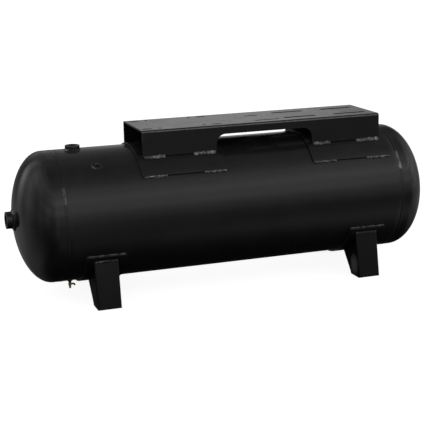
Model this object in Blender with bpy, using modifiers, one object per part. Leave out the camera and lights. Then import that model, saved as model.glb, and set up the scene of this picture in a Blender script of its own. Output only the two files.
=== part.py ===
"""Horizontal air receiver: a rolled and welded steel pressure vessel on four
folded legs, with a folded top deck for a pump and motor, threaded ports and a
brass drain cock.

Frame: metres, +Z up, +X along the vessel's axis.  The origin is on the floor,
under the middle of the vessel.  The front of the tank faces -Y.  Every piece
is parented to an empty on the vessel's axis, so heights below are measured
from that axis.
"""
import math

import bmesh
import bpy
from mathutils import Matrix, Vector

# ----------------------------------------------------------------- dimensions
MM = 0.001
GAP = 0.3 * MM              # air gap left between neighbouring pieces

# vessel
AXIS_H = 320.5 * MM         # vessel axis above the floor
FLOOR_Z = -AXIS_H
TANK_R = 254.0 * MM         # 20 in outside diameter
WALL = 4.6 * MM             # shell and head plate
INNER_R = TANK_R - WALL
SEG = 64                    # facets round the vessel
STEP = 2 * math.pi / SEG
SEAM_X = 687.2 * MM         # girth seam, from the middle of the vessel
ROOT_GAP = 3.4 * MM         # weld gap between shell end and head skirt
SKIRT = 29.0 * MM           # straight flange of the head
HEAD_DEPTH = TANK_R / 2     # 2:1 ellipsoidal head
HEAD_ARC_STEPS = 6

# vessel seam welds
CAP_HALF_W, CAP_H = 7.0 * MM, 2.4 * MM      # crowned cap over each girth seam
CAP_FLAT = 0.35             # flat part of the cap's crown, as a share of its width
LONG_SEAM_ANGLE = 15 * STEP
LONG_SEAM_HALF = SEAM_X - CAP_HALF_W - 1.0 * MM

# saddle plates
PLATE = 6.35 * MM           # deck and saddle plates
PAD_R0 = TANK_R + GAP
PAD_R1 = PAD_R0 + PLATE
ON_PAD_R = PAD_R1 + GAP     # where pieces standing on a saddle plate begin
PAD_OVER = 22.0 * MM        # how far a saddle plate shows past the deck leg
DECK_PAD_STEPS = 9          # half wrap of the deck saddles, in facets
FOOT_PAD_STEPS = 11         # half wrap of the foot saddles, in facets
FOOT_PAD_W = 156.0 * MM

# deck
DECK_X0, DECK_X1 = -361.3 * MM, 633.9 * MM
DECK_HALF_W = 271.5 * MM / 2
DECK_TOP = 326.5 * MM
DECK_FOOT = 226.9 * MM      # lower edge of the deck's side flanges
BEND_R = 9.5 * MM           # outside radius of the folds
NOTCH_X0, NOTCH_X1 = -64.2 * MM, 338.4 * MM
NOTCH_TOP = 291.0 * MM
NOTCH_R = 38.0 * MM

# deck holes and slots
PUMP_X = -190.0 * MM        # middle of the pump's bolt pattern
PUMP_HOLE_DX, PUMP_SLOT_DX = 89.0 * MM, 140.0 * MM
PUMP_DY = 98.0 * MM
PUMP_HOLE_R = 7.0 * MM
PUMP_SLOT_L = 40.0 * MM
MOTOR_SLOTS_X = (313.0 * MM, 531.0 * MM)
MOTOR_SLOTS_Y = (-72.0 * MM, 60.0 * MM)
MOTOR_SLOT_L, MOTOR_SLOT_R = 140.0 * MM, 9.5 * MM
# x, y, length
GUARD_SLOTS = ((144.0 * MM, 36.0 * MM, 60.0 * MM), (166.0 * MM, -87.0 * MM, 104.0 * MM))
GUARD_SLOT_R = 6.35 * MM

# legs; points are (out from the middle, height)
LEG_X = 540.7 * MM          # middle of each leg
LEG_T = 4.8 * MM            # leg plate
LEG_TOP_Y, LEG_TOP_Z = 218.5 * MM, -141.7 * MM
LEG_FOOT_Y = 256.0 * MM
LEG_TOP_W, LEG_FOOT_W = 96.4 * MM, 91.5 * MM
LEG_REAR_TOP = (104.2 * MM, -228.0 * MM)
LEG_REAR_FOOT = (174.0 * MM, -310.5 * MM)
LEG_BLANK_TOP = -110.0 * MM     # top of the leg before the saddle trims it
LEG_FOLD_OUT, LEG_FOLD_IN = 7.5 * MM, 2.7 * MM
LEG_HOLE_R = 7.0 * MM
LEG_HOLE_INSET = 30.0 * MM      # bolt hole in from the front of the foot

# ports
END_PORT_R, END_BORE_R = 33.0 * MM, 22.2 * MM           # 1-1/2 in pipe thread
END_FACE_X = 872.0 * MM
END_WELD = 11.0 * MM
TOP_PORT_R, TOP_BORE_R = 28.5 * MM, 19.4 * MM           # 1-1/4 in pipe thread
TOP_PORT_X, TOP_PORT_FACE = -602.0 * MM, 270.0 * MM
GAUGE_PORT_R, GAUGE_BORE_R = 19.0 * MM, 9.3 * MM        # 1/2 in pipe thread
GAUGE_PORT_X, GAUGE_PORT_TILT = -541.0 * MM, math.radians(33.5)
GAUGE_PORT_FACE = TANK_R + 6.0 * MM
DRAIN_PORT_R, DRAIN_BORE_R = 11.0 * MM, 6.0 * MM        # 1/4 in pipe thread
DRAIN_X, DRAIN_PORT_FACE = -637.0 * MM, 266.0 * MM
PORT_RIM_EASE = 1.2 * MM
PORT_BORE_LEAD = 2.2 * MM

SHARP_ANGLE = math.radians(35)
WELD_DISTANCE = 1e-6        # vertices closer than this are merged

# ---------------------------------------------------------------------- scene
for old in list(bpy.data.objects):
    bpy.data.objects.remove(old, do_unlink=True)

PARTS = bpy.data.collections.new("air_receiver_tank")
CUTTERS = bpy.data.collections.new("cutters")
for group in (PARTS, CUTTERS):
    bpy.context.scene.collection.children.link(group)
CUTTERS.hide_render = True

# the vessel's own frame, with its origin on the axis
vessel = bpy.data.objects.new("vessel_axis", None)
vessel.location = (0, 0, AXIS_H)
PARTS.objects.link(vessel)


# ------------------------------------------------------------------ materials
def material(name, colour, roughness, metallic):
    mat = bpy.data.materials.new(name)
    mat.use_nodes = True
    shader = mat.node_tree.nodes["Principled BSDF"]
    shader.inputs["Base Color"].default_value = (*colour, 1.0)
    shader.inputs["Roughness"].default_value = roughness
    shader.inputs["Metallic"].default_value = metallic
    return mat


paint = material(
    "satin_black_enamel", colour=(0.012, 0.012, 0.013), roughness=0.32, metallic=0.0
)
bead_paint = material(
    "painted_weld", colour=(0.016, 0.016, 0.017), roughness=0.26, metallic=0.0
)
brass = material("brass", colour=(0.62, 0.46, 0.17), roughness=0.28, metallic=1.0)
rubber = material("rubber", colour=(0.015, 0.015, 0.015), roughness=0.8, metallic=0.0)


# ------------------------------------------------------------ object helpers
def place_object(name, mesh, group, place, parent):
    obj = bpy.data.objects.new(name, mesh)
    group.objects.link(obj)
    obj.parent = parent
    if place is not None:
        obj.matrix_local = place
    return obj


def add_part(name, mesh, mat, place=None, parent=vessel):
    """A finished piece, with its own copy of the material."""
    obj = place_object(name, mesh, PARTS, place, parent)
    own = mat.copy()
    own.name = name
    mesh.materials.clear()
    mesh.materials.append(own)
    mesh.shade_smooth()
    mesh.set_sharp_from_angle(angle=SHARP_ANGLE)
    return obj


def add_cutter(name, mesh, place=None, parent=vessel):
    """A hidden helper that a boolean modifier reads."""
    obj = place_object(name, mesh, CUTTERS, place, parent)
    obj.hide_render = True
    obj.display_type = "WIRE"
    return obj


def boolean(obj, other, operation="DIFFERENCE"):
    mod = obj.modifiers.new(operation.lower(), "BOOLEAN")
    mod.operation = operation
    mod.object = other
    mod.solver = "EXACT"


def frozen(obj):
    """The object's evaluated mesh as a new mesh, welded."""
    bpy.context.view_layer.update()
    graph = bpy.context.evaluated_depsgraph_get()
    mesh = bpy.data.meshes.new_from_object(obj.evaluated_get(graph))
    work = bmesh.new()
    work.from_mesh(mesh)
    bmesh.ops.remove_doubles(work, verts=work.verts, dist=WELD_DISTANCE)
    bmesh.ops.recalc_face_normals(work, faces=work.faces)
    work.to_mesh(mesh)
    work.free()
    return mesh


def temporary_object(data):
    obj = bpy.data.objects.new("temporary", data)
    bpy.context.scene.collection.objects.link(obj)
    return obj


def frozen_and_removed(obj):
    mesh = frozen(obj)
    bpy.data.objects.remove(obj)
    return mesh


# -------------------------------------------------------------- shape helpers
# local X, Y, Z of an outline placed along world Y, Z, X
ALONG_X = Matrix(((0, 0, 1, 0), (1, 0, 0, 0), (0, 1, 0, 0), (0, 0, 0, 1)))
# an outline's local X, Y, Z placed along world X, Z, -Y
FACE_FRONT = Matrix.Rotation(math.pi / 2, 4, "X")
# local Z of a turned shape placed along world X
TURN_X = Matrix.Rotation(math.pi / 2, 4, "Y")


def shifted(x, y, z):
    return Matrix.Translation((x, y, z))


def from_mm(points):
    return [tuple(value * MM for value in point) for point in points]


def new_path(dimensions, points, cyclic):
    """Curve data holding one straight-sided path through 3D points."""
    data = bpy.data.curves.new("path", "CURVE")
    data.dimensions = dimensions
    line = data.splines.new("POLY")
    line.points.add(len(points) - 1)
    for point, position in zip(line.points, points):
        point.co = (*position, 1)
    line.use_cyclic_u = cyclic
    return data


def outline_mesh(points, half):
    """A flat closed outline, filled and extruded by half each way."""
    data = new_path("2D", [(*point, 0) for point in points], cyclic=True)
    data.fill_mode = "BOTH"
    data.extrude = half
    return frozen_and_removed(temporary_object(data))


def tube_mesh(points, radius):
    """A capped round tube along a path."""
    data = new_path("3D", points, cyclic=False)
    data.bevel_depth = radius
    data.bevel_resolution = 2
    data.use_fill_caps = True
    return frozen_and_removed(temporary_object(data))


def prism(name, points, start_x, end_x, mat):
    """An outline in the YZ plane, drawn out from start_x to end_x."""
    place = shifted((start_x + end_x) / 2, 0, 0) @ ALONG_X
    return add_part(name, outline_mesh(points, (end_x - start_x) / 2), mat, place)


def turned(name, profile, mat, place=None, steps=SEG, parent=vessel):
    """A closed profile of (radius, height) turned about local Z.  The profile
    runs down its outer side and back up its inner side, or the other way."""
    mesh = bpy.data.meshes.new(name)
    count = len(profile)
    edges = [(i, (i + 1) % count) for i in range(count)]
    mesh.from_pydata([(radius, 0, height) for radius, height in profile], edges, [])
    obj = temporary_object(mesh)
    mod = obj.modifiers.new("turn", "SCREW")
    mod.steps = steps
    mod.use_merge_vertices = True
    mod.merge_threshold = WELD_DISTANCE
    return add_part(name, frozen_and_removed(obj), mat, place, parent)


def cylinder_cutter(name, radius, depth, place, sides, parent=vessel):
    mesh = bpy.data.meshes.new(name)
    work = bmesh.new()
    bmesh.ops.create_cone(
        work, cap_ends=True, segments=sides, radius1=radius, radius2=radius, depth=depth
    )
    work.to_mesh(mesh)
    work.free()
    return add_cutter(name, mesh, place, parent)


def arc(radius, start, end, count, centre=(0.0, 0.0)):
    """Points on a circle, angles measured from the outline's second axis
    towards its first: from +Z towards +Y in a YZ outline."""
    angles = [start + (end - start) * i / count for i in range(count + 1)]
    return [
        (centre[0] + radius * math.sin(angle), centre[1] + radius * math.cos(angle))
        for angle in angles
    ]


def slot_outline(x, y, length, radius):
    """A round-ended slot along X, in the XY plane."""
    reach = length / 2 - radius
    right = arc(radius, math.pi, 0, 6, (x + reach, y))
    left = arc(radius, 0, -math.pi, 6, (x - reach, y))
    return right + left


def fillet(name, corner, up, out, lengths, start_x, end_x, crown=0.22):
    """A straight fillet weld bead along X.  corner is where the two faces meet,
    up and out are unit directions along the faces, lengths the bead's size
    along each, and crown its bulge as a share of the smaller one."""
    corner = Vector(corner)
    upper = corner + Vector(up) * lengths[0]
    outer = corner + Vector(out) * lengths[1]
    bulge = (upper - corner) + (outer - corner)
    bulge.normalize()
    points = [corner]
    rounds = 4
    for i in range(rounds + 1):
        t = i / rounds
        height = crown * min(lengths) * 4 * t * (1 - t)
        points.append(upper.lerp(outer, t) + bulge * height)
    prism(name, [(point.x, point.y) for point in points], start_x, end_x, bead_paint)


# ---------------------------------------------------------------------- shell
shell_half = SEAM_X - ROOT_GAP / 2
shell = turned(
    "shell",
    [
        (TANK_R, shell_half),
        (TANK_R, -shell_half),
        (INNER_R, -shell_half),
        (INNER_R, shell_half),
    ],
    paint,
    TURN_X,
)

# ---------------------------------------------------------------------- heads
# frames on the girth seams, local Z pointing out of the vessel
RIGHT_END = shifted(SEAM_X, 0, 0) @ TURN_X
LEFT_END = Matrix.Rotation(math.pi, 4, "Z") @ RIGHT_END
ENDS = {"left": LEFT_END, "right": RIGHT_END}


def head_curve(radius, depth, hole_radius):
    """A quarter ellipse from the rim of the apex hole down to the skirt."""
    start = math.asin(hole_radius / radius)
    points = []
    for i in range(HEAD_ARC_STEPS + 1):
        angle = start + (math.pi / 2 - start) * i / HEAD_ARC_STEPS
        points.append((radius * math.sin(angle), SKIRT + depth * math.cos(angle)))
    return points


def head_height(radius):
    """Height of the head's outer face above the girth seam."""
    return SKIRT + HEAD_DEPTH * math.sqrt(1 - (radius / TANK_R) ** 2)


head_hole_r = END_PORT_R + GAP
head_profile = (
    head_curve(TANK_R, HEAD_DEPTH, head_hole_r)
    + [(TANK_R, ROOT_GAP / 2), (INNER_R, ROOT_GAP / 2)]
    + head_curve(INNER_R, HEAD_DEPTH - WALL, head_hole_r)[::-1]
)
for side, place in ENDS.items():
    turned("head_" + side, head_profile, paint, place)

# ---------------------------------------------------------- vessel seam welds
# girth welds: a crowned cap over the joint and a root in the gap
root_half = ROOT_GAP / 2 - GAP
cap_base_r = TANK_R + GAP
girth_profile = [
    (cap_base_r + CAP_H, CAP_HALF_W * CAP_FLAT),
    (cap_base_r + CAP_H, -CAP_HALF_W * CAP_FLAT),
    (cap_base_r, -CAP_HALF_W),
    (cap_base_r, -root_half),
    (INNER_R, -root_half),
    (INNER_R, root_half),
    (cap_base_r, root_half),
    (cap_base_r, CAP_HALF_W),
]
for side, seam_x in (("left", -SEAM_X), ("right", SEAM_X)):
    turned("girth_weld_" + side, girth_profile, bead_paint, shifted(seam_x, 0, 0) @ TURN_X)

# the shell's own lengthwise seam, on the rear side
# millimetres across the bead, millimetres above its base
LONG_SEAM_SECTION = (
    (-5.0, 0.4), (-3.0, 1.5), (0.0, 1.9), (3.0, 1.5), (5.0, 0.4),
    (5.0, 0.0), (0.0, 0.0), (-5.0, 0.0),
)
seam_normal = Vector((math.sin(LONG_SEAM_ANGLE), math.cos(LONG_SEAM_ANGLE)))
seam_across = Vector((seam_normal.y, -seam_normal.x))
long_seam_outline = []
for across, height in from_mm(LONG_SEAM_SECTION):
    point = seam_normal * (TANK_R + GAP + height) + seam_across * across
    long_seam_outline.append((point.x, point.y))
prism("long_seam_weld", long_seam_outline, -LONG_SEAM_HALF, LONG_SEAM_HALF, bead_paint)

# -------------------------------------------------------------- saddle plates
DECK_PADS = {
    "left": (DECK_X0 - PAD_OVER, NOTCH_X0 + PAD_OVER),
    "right": (NOTCH_X1 - PAD_OVER, DECK_X1 + PAD_OVER),
}
FOOT_PADS = {
    "left": (-LEG_X - FOOT_PAD_W / 2, -LEG_X + FOOT_PAD_W / 2),
    "right": (LEG_X - FOOT_PAD_W / 2, LEG_X + FOOT_PAD_W / 2),
}


def saddles(prefix, pads, middle, steps):
    """Curved plates centred on the angle middle, steps facets each way."""
    start, end = middle - steps * STEP, middle + steps * STEP
    points = arc(PAD_R1, start, end, 2 * steps) + arc(PAD_R0, end, start, 2 * steps)
    for side, (start_x, end_x) in pads.items():
        prism(prefix + side, points, start_x, end_x, paint)


saddles("deck_saddle_", DECK_PADS, 0.0, DECK_PAD_STEPS)
saddles("foot_saddle_", FOOT_PADS, math.pi, FOOT_PAD_STEPS)

# ----------------------------------------------------------------------- deck
fold_y = DECK_HALF_W - BEND_R
fold_z = DECK_TOP - BEND_R
bend_inner_r = BEND_R - PLATE
quarter = math.pi / 2
deck_outline = [
    (-DECK_HALF_W, DECK_FOOT),
    *arc(BEND_R, -quarter, 0, 6, (-fold_y, fold_z)),
    *arc(BEND_R, 0, quarter, 6, (fold_y, fold_z)),
    (DECK_HALF_W, DECK_FOOT),
    (DECK_HALF_W - PLATE, DECK_FOOT),
    *arc(bend_inner_r, quarter, 0, 4, (fold_y, fold_z)),
    *arc(bend_inner_r, 0, -quarter, 4, (-fold_y, fold_z)),
    (-DECK_HALF_W + PLATE, DECK_FOOT),
]
deck = prism("deck", deck_outline, DECK_X0, DECK_X1, paint)

# one notch cutter passes through both side flanges; it is drawn in the XZ plane
notch_base = DECK_FOOT - 20 * MM
notch_outline = [
    (NOTCH_X0, notch_base),
    (NOTCH_X1, notch_base),
    *arc(NOTCH_R, quarter, 0, 6, (NOTCH_X1 - NOTCH_R, NOTCH_TOP - NOTCH_R)),
    *arc(NOTCH_R, 0, -quarter, 6, (NOTCH_X0 + NOTCH_R, NOTCH_TOP - NOTCH_R)),
]
notch_mesh = outline_mesh(notch_outline, DECK_HALF_W + 10 * MM)
boolean(deck, add_cutter("notch_cut", notch_mesh, FACE_FRONT))

# x, y, length, radius; a length of 0 is a round hole
deck_holes = []
for along in (-1, 1):
    for across in (-1, 1):
        hole_y = across * PUMP_DY
        deck_holes += [
            (PUMP_X + along * PUMP_HOLE_DX, hole_y, 0.0, PUMP_HOLE_R),
            (PUMP_X + along * PUMP_SLOT_DX, hole_y, PUMP_SLOT_L, PUMP_HOLE_R),
        ]
for slot_x in MOTOR_SLOTS_X:
    for slot_y in MOTOR_SLOTS_Y:
        deck_holes.append((slot_x, slot_y, MOTOR_SLOT_L, MOTOR_SLOT_R))
deck_holes += [(*slot, GUARD_SLOT_R) for slot in GUARD_SLOTS]

DECK_CUT_DEPTH = 30 * MM
for i, (x, y, length, radius) in enumerate(deck_holes):
    if length:
        mesh = outline_mesh(slot_outline(x, y, length, radius), DECK_CUT_DEPTH / 2)
        cutter = add_cutter("slot_%02d" % i, mesh, shifted(0, 0, DECK_TOP))
    else:
        cutter = cylinder_cutter(
            "hole_%02d" % i, radius, DECK_CUT_DEPTH, shifted(x, y, DECK_TOP), 16
        )
    boolean(deck, cutter)

# ----------------------------------------------------------------------- legs
# change in the front face's distance out, per unit of height
leg_slope = (LEG_FOOT_Y - LEG_TOP_Y) / (FLOOR_Z - LEG_TOP_Z)


def leg_face_y(z):
    """How far out the leg's front face is at height z."""
    return LEG_TOP_Y + leg_slope * (z - LEG_TOP_Z)


def leg_half_width(z):
    t = (z - LEG_TOP_Z) / (FLOOR_Z - LEG_TOP_Z)
    return (LEG_TOP_W + (LEG_FOOT_W - LEG_TOP_W) * t) / 2


def leg_block(profile, shrink, fold):
    """A side profile of (out, height) points drawn out to the leg's tapering
    width, less shrink on each side, with its front and lower folds rounded.
    The first two points are the top and bottom of the front face."""
    work = bmesh.new()
    left, right = (
        [work.verts.new((side * (leg_half_width(z) - shrink), -y, z)) for y, z in profile]
        for side in (-1, 1)
    )
    work.faces.new(left)
    work.faces.new(right[::-1])
    for i in range(len(profile)):
        j = (i + 1) % len(profile)
        work.faces.new((left[j], left[i], right[i], right[j]))
    bmesh.ops.recalc_face_normals(work, faces=work.faces)
    fold_ends = [{left[0], left[1]}, {right[0], right[1]}, {left[1], right[1]}]
    folds = [edge for edge in work.edges if set(edge.verts) in fold_ends]
    bmesh.ops.bevel(
        work, geom=folds, offset=fold, segments=3, profile=0.5, affect="EDGES"
    )
    mesh = bpy.data.meshes.new("leg")
    work.to_mesh(mesh)
    work.free()
    return mesh


# the rear edge is carried on upwards, past where the saddle trims it
rear_edge = Vector(LEG_REAR_FOOT) - Vector(LEG_REAR_TOP)
rear_blank_top = Vector(LEG_REAR_TOP) - rear_edge * 0.45
leg_outside = [
    (leg_face_y(LEG_BLANK_TOP), LEG_BLANK_TOP),
    (LEG_FOOT_Y, FLOOR_Z),
    (LEG_REAR_FOOT[0] + 9 * MM, FLOOR_Z),
    (LEG_REAR_FOOT[0] + 2.6 * MM, FLOOR_Z + 3.2 * MM),
    LEG_REAR_FOOT,
    (rear_blank_top.x, rear_blank_top.y),
]
# the hollow is open at the top and rear
face_thickness = LEG_T * math.sqrt(1 + leg_slope**2)    # measured level
hollow_top = LEG_BLANK_TOP + 40 * MM
hollow_floor = FLOOR_Z + LEG_T
hollow_rear_y = 40 * MM
leg_inside = [
    (leg_face_y(hollow_top) - face_thickness, hollow_top),
    (leg_face_y(hollow_floor) - face_thickness, hollow_floor),
    (hollow_rear_y, hollow_floor),
    (hollow_rear_y, hollow_top),
]


def leg_mesh():
    """One front leg, centred on X = 0 and trimmed to the foot saddle."""
    outside = leg_block(leg_outside, 0.0, LEG_FOLD_OUT)
    master = place_object("leg_master", outside, PARTS, None, vessel)
    boolean(master, add_cutter("leg_hollow", leg_block(leg_inside, LEG_T, LEG_FOLD_IN)))
    boolean(master, cylinder_cutter("saddle_cut", ON_PAD_R, 400 * MM, TURN_X, SEG))
    bolt_place = shifted(0, -(LEG_FOOT_Y - LEG_HOLE_INSET), FLOOR_Z)
    boolean(master, cylinder_cutter("bolt_cut", LEG_HOLE_R, 30 * MM, bolt_place, 16))
    return frozen_and_removed(master)


# name ending: sign of X, sign of Y
LEG_CORNERS = {
    "front_left": (-1, -1),
    "front_right": (1, -1),
    "rear_left": (-1, 1),
    "rear_right": (1, 1),
}
leg_solid = leg_mesh()
for corner_name, (along, across) in LEG_CORNERS.items():
    half_turn = Matrix.Rotation(0 if across < 0 else math.pi, 4, "Z")
    place = shifted(along * LEG_X, 0, 0) @ half_turn
    add_part("leg_" + corner_name, leg_solid.copy(), paint, place)


# ---------------------------------------------------------------------- ports
def port(name, outer, bore, face, inner, place, steps):
    """A half coupling: a bored ring with eased rims, from height inner up to
    its face."""
    profile = [
        (bore + PORT_BORE_LEAD, face),
        (outer - PORT_RIM_EASE, face),
        (outer, face - PORT_RIM_EASE),
        (outer, inner),
        (bore, inner),
        (bore, face - PORT_BORE_LEAD),
    ]
    turned(name, profile, paint, place, steps)


# cuts away the part of a port weld that lies inside the shell
shell_cut = cylinder_cutter("shell_cut", TANK_R + GAP, 2 * SEAM_X, TURN_X, SEG)


def ring_weld(name, radius, leg, place, steps):
    """A fillet weld round a port, trimmed to the shell it sits on."""
    inner = radius + GAP
    root = TANK_R - 7 * MM
    profile = [
        (inner, TANK_R + leg),
        (inner + 0.55 * leg, TANK_R + 0.68 * leg),
        (inner + leg, TANK_R + 0.3 * MM),
        (inner + leg, root),
        (inner, root),
    ]
    boolean(turned(name, profile, bead_paint, place, steps), shell_cut)


at_top = shifted(TOP_PORT_X, 0, 0)
at_gauge = shifted(GAUGE_PORT_X, 0, 0) @ Matrix.Rotation(GAUGE_PORT_TILT, 4, "X")
at_drain = shifted(DRAIN_X, 0, 0) @ Matrix.Rotation(math.pi, 4, "X")
# name, outer radius, bore radius, face, depth into the tank, weld leg, frame, steps
SHELL_PORTS = (
    ("top_port", TOP_PORT_R, TOP_BORE_R, TOP_PORT_FACE, 9 * MM, 6 * MM, at_top, 32),
    ("gauge_port", GAUGE_PORT_R, GAUGE_BORE_R, GAUGE_PORT_FACE, 8 * MM, 4.2 * MM, at_gauge, 24),
    ("drain_port", DRAIN_PORT_R, DRAIN_BORE_R, DRAIN_PORT_FACE, 8 * MM, 4.5 * MM, at_drain, 24),
)
for name, outer, bore, face, depth, weld_leg, place, steps in SHELL_PORTS:
    port(name, outer, bore, face, TANK_R - depth, place, steps)
    cut_place = place @ shifted(0, 0, TANK_R)
    boolean(shell, cylinder_cutter(name + "_cut", outer + GAP, 60 * MM, cut_place, steps))
    ring_weld(name + "_weld", outer, weld_leg, place, steps)

# the ports through the heads, with their welds following the head's curve
weld_inner_r = END_PORT_R + GAP
weld_outer_r = weld_inner_r + END_WELD
weld_inner_z = head_height(weld_inner_r)
weld_outer_z = head_height(weld_outer_r)
end_weld_profile = [
    (weld_inner_r, weld_inner_z + GAP + 9 * MM),
    (weld_inner_r + 0.5 * END_WELD, weld_inner_z + 6.2 * MM),
    (weld_outer_r, weld_outer_z + GAP + 0.5 * MM),
    (weld_outer_r, weld_outer_z + GAP),
    (weld_inner_r, weld_inner_z + GAP),
]
for side, place in ENDS.items():
    port(
        "end_port_" + side, END_PORT_R, END_BORE_R, END_FACE_X - SEAM_X,
        SKIRT + HEAD_DEPTH - 11 * MM, place, 32,
    )
    turned("end_port_weld_" + side, end_weld_profile, bead_paint, place, 32)

# ------------------------------------------------------------ straight welds
# key, edge it is measured from, start and end past that edge in millimetres
DECK_STITCHES = (
    ("a", DECK_X0, 4, 90),
    ("b", NOTCH_X0, -96, -2),
    ("c", NOTCH_X1, 2, 80),
    ("d", DECK_X1, -104, -2),
)
SADDLE_STITCHES = (
    ("a", DECK_PADS["left"][0], 6, 100),
    ("b", DECK_PADS["left"][1], -96, -3),
    ("c", DECK_PADS["right"][0], 1, 102),
    ("d", DECK_PADS["right"][1], -108, -1),
)
# bead sizes, along each of the two faces
DECK_BEAD = (9.0 * MM, 7.5 * MM)
SADDLE_BEAD = (6.6 * MM, 7.0 * MM)
FOOT_SADDLE_BEAD = (6.6 * MM, 7.5 * MM)
LEG_BEAD = (7.0 * MM, 6.0 * MM)


def deck_weld(name, across, start_x, end_x):
    """Deck flange to saddle plate; across is the sign of Y."""
    y = DECK_HALF_W + GAP
    z = math.sqrt(ON_PAD_R**2 - y**2)
    outer_y = y + DECK_BEAD[1]
    outer_z = math.sqrt(ON_PAD_R**2 - outer_y**2)
    out = Vector((across * (outer_y - y), outer_z - z)).normalized()
    corner = (across * y, z + 0.25 * MM)
    fillet(name, corner, (0, 1), out, DECK_BEAD, start_x, end_x)


def saddle_edge_weld(name, angle, across, away, bead, start_x, end_x):
    """Saddle plate edge to shell.  angle is the edge's, from +Z; across is the
    sign of Y; away is 1 if the bead spreads towards larger angles, else -1."""
    angle += away * GAP / TANK_R
    normal = Vector((across * math.sin(angle), math.cos(angle)))
    out = Vector((away * across * math.cos(angle), -away * math.sin(angle)))
    fillet(name, normal * (TANK_R + GAP), normal, out, bead, start_x, end_x)


for across, where in ((-1, "front"), (1, "rear")):
    for key, edge_x, start, end in DECK_STITCHES:
        deck_weld(
            "deck_weld_%s_%s" % (where, key), across, edge_x + start * MM, edge_x + end * MM
        )
    for key, edge_x, start, end in SADDLE_STITCHES:
        saddle_edge_weld(
            "saddle_weld_%s_%s" % (where, key), DECK_PAD_STEPS * STEP, across, 1,
            SADDLE_BEAD, edge_x + start * MM, edge_x + end * MM,
        )
    for side, (start_x, end_x) in FOOT_PADS.items():
        saddle_edge_weld(
            "foot_saddle_weld_%s_%s" % (where, side), math.pi - FOOT_PAD_STEPS * STEP,
            across, -1, FOOT_SADDLE_BEAD, start_x + 1 * MM, end_x - 1 * MM,
        )

# leg to foot saddle, across the top of each leg's front face; the crest is
# where the line of that face meets the circle round the saddle
face_y_at_axis = leg_face_y(0.0)
slope_factor = 1 + leg_slope**2
crest_z = (
    -face_y_at_axis * leg_slope
    - math.sqrt(slope_factor * ON_PAD_R**2 - face_y_at_axis**2)
) / slope_factor
crest = Vector((leg_face_y(crest_z), crest_z))
weld_corner = crest + Vector((1.0, -leg_slope)).normalized() * GAP
up_saddle = Vector((-crest.y, crest.x)).normalized()
down_face = Vector((-leg_slope, -1.0)).normalized()
leg_weld_half = leg_half_width(crest_z) - 5.5 * MM
for corner_name, (along, across) in LEG_CORNERS.items():
    fillet(
        "leg_weld_" + corner_name,
        (across * weld_corner.x, weld_corner.y),
        (across * up_saddle.x, up_saddle.y),
        (across * down_face.x, down_face.y),
        LEG_BEAD,
        along * LEG_X - leg_weld_half,
        along * LEG_X + leg_weld_half,
        crown=0.3,
    )

# ----------------------------------------------------------------- drain cock
COCK_STEPS = 24
cock = bpy.data.objects.new("drain_cock_axis", None)
cock.parent = vessel
cock.location = (DRAIN_X, 0, 0)
PARTS.objects.link(cock)


def turned_for_cock(name, profile, mat):
    return turned(name, profile, mat, steps=COCK_STEPS, parent=cock)


# turned profiles: radius, height, in millimetres
BODY_PROFILE = (
    (2.2, -252.0), (5.2, -252.0), (5.65, -254.0), (5.65, -266.6), (7.0, -266.6),
    (7.0, -270.6), (5.0, -271.4), (5.0, -273.6), (6.6, -274.8), (6.6, -284.6),
    (5.2, -285.8), (5.2, -287.4), (3.2, -287.4), (3.2, -274.6), (2.2, -273.6),
)
STEM_PROFILE = (
    (0.6, -272.4), (2.9, -275.3), (3.1, -275.9), (3.1, -281.6), (2.2, -281.6),
    (2.2, -283.4), (3.1, -283.4), (3.1, -287.9), (2.4, -288.3), (2.4, -297.0),
    (0.6, -297.6),
)
WING_HUB_PROFILE = (
    (2.6, -288.9), (4.2, -288.9), (4.4, -290.0), (4.4, -294.6), (4.0, -295.6),
    (2.6, -295.6),
)

# body, with an outlet nose that runs out along +X and bends down
NOSE_Z = -279.5 * MM
NOSE_R, NOSE_BORE_R = 3.7 * MM, 2.3 * MM
NOSE_BEND_X, NOSE_BEND_R = 12.0 * MM, 7.0 * MM
NOSE_BEND_ANGLE = math.radians(72)
NOSE_BEND_STEPS = 4
NOSE_TIP = 2.2 * MM         # straight length after the bend


def nose_path(start_x, extra):
    """The nose's centre line, carried extra past its tip."""
    path = [(start_x, 0, NOSE_Z)]
    for i in range(NOSE_BEND_STEPS + 1):
        angle = NOSE_BEND_ANGLE * i / NOSE_BEND_STEPS
        x = NOSE_BEND_X + NOSE_BEND_R * math.sin(angle)
        path.append((x, 0, NOSE_Z - NOSE_BEND_R * (1 - math.cos(angle))))
    x, y, z = path[-1]
    reach = NOSE_TIP + extra
    path.append(
        (x + reach * math.cos(NOSE_BEND_ANGLE), y, z - reach * math.sin(NOSE_BEND_ANGLE))
    )
    return path


body = turned_for_cock("drain_cock_body", from_mm(BODY_PROFILE), brass)
nose_mesh = tube_mesh(nose_path(4.6 * MM, 0), NOSE_R)
boolean(body, add_cutter("nose_join", nose_mesh, parent=cock), "UNION")
nose_bore_mesh = tube_mesh(nose_path(1.5 * MM, 4 * MM), NOSE_BORE_R)
boolean(body, add_cutter("nose_bore", nose_bore_mesh, parent=cock))

turned_for_cock("drain_cock_stem", from_mm(STEM_PROFILE), brass)

# seal ring, in the stem's groove
RING_R, RING_SECTION_R = 2.69 * MM, 0.42 * MM
RING_Z = -282.5 * MM
RING_SIDES = 8
ring_angles = [2 * math.pi * i / RING_SIDES for i in range(RING_SIDES)]
ring_profile = [
    (RING_R + RING_SECTION_R * math.cos(angle), RING_Z - RING_SECTION_R * math.sin(angle))
    for angle in ring_angles
]
turned_for_cock("drain_cock_seal_ring", ring_profile, rubber)

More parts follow.
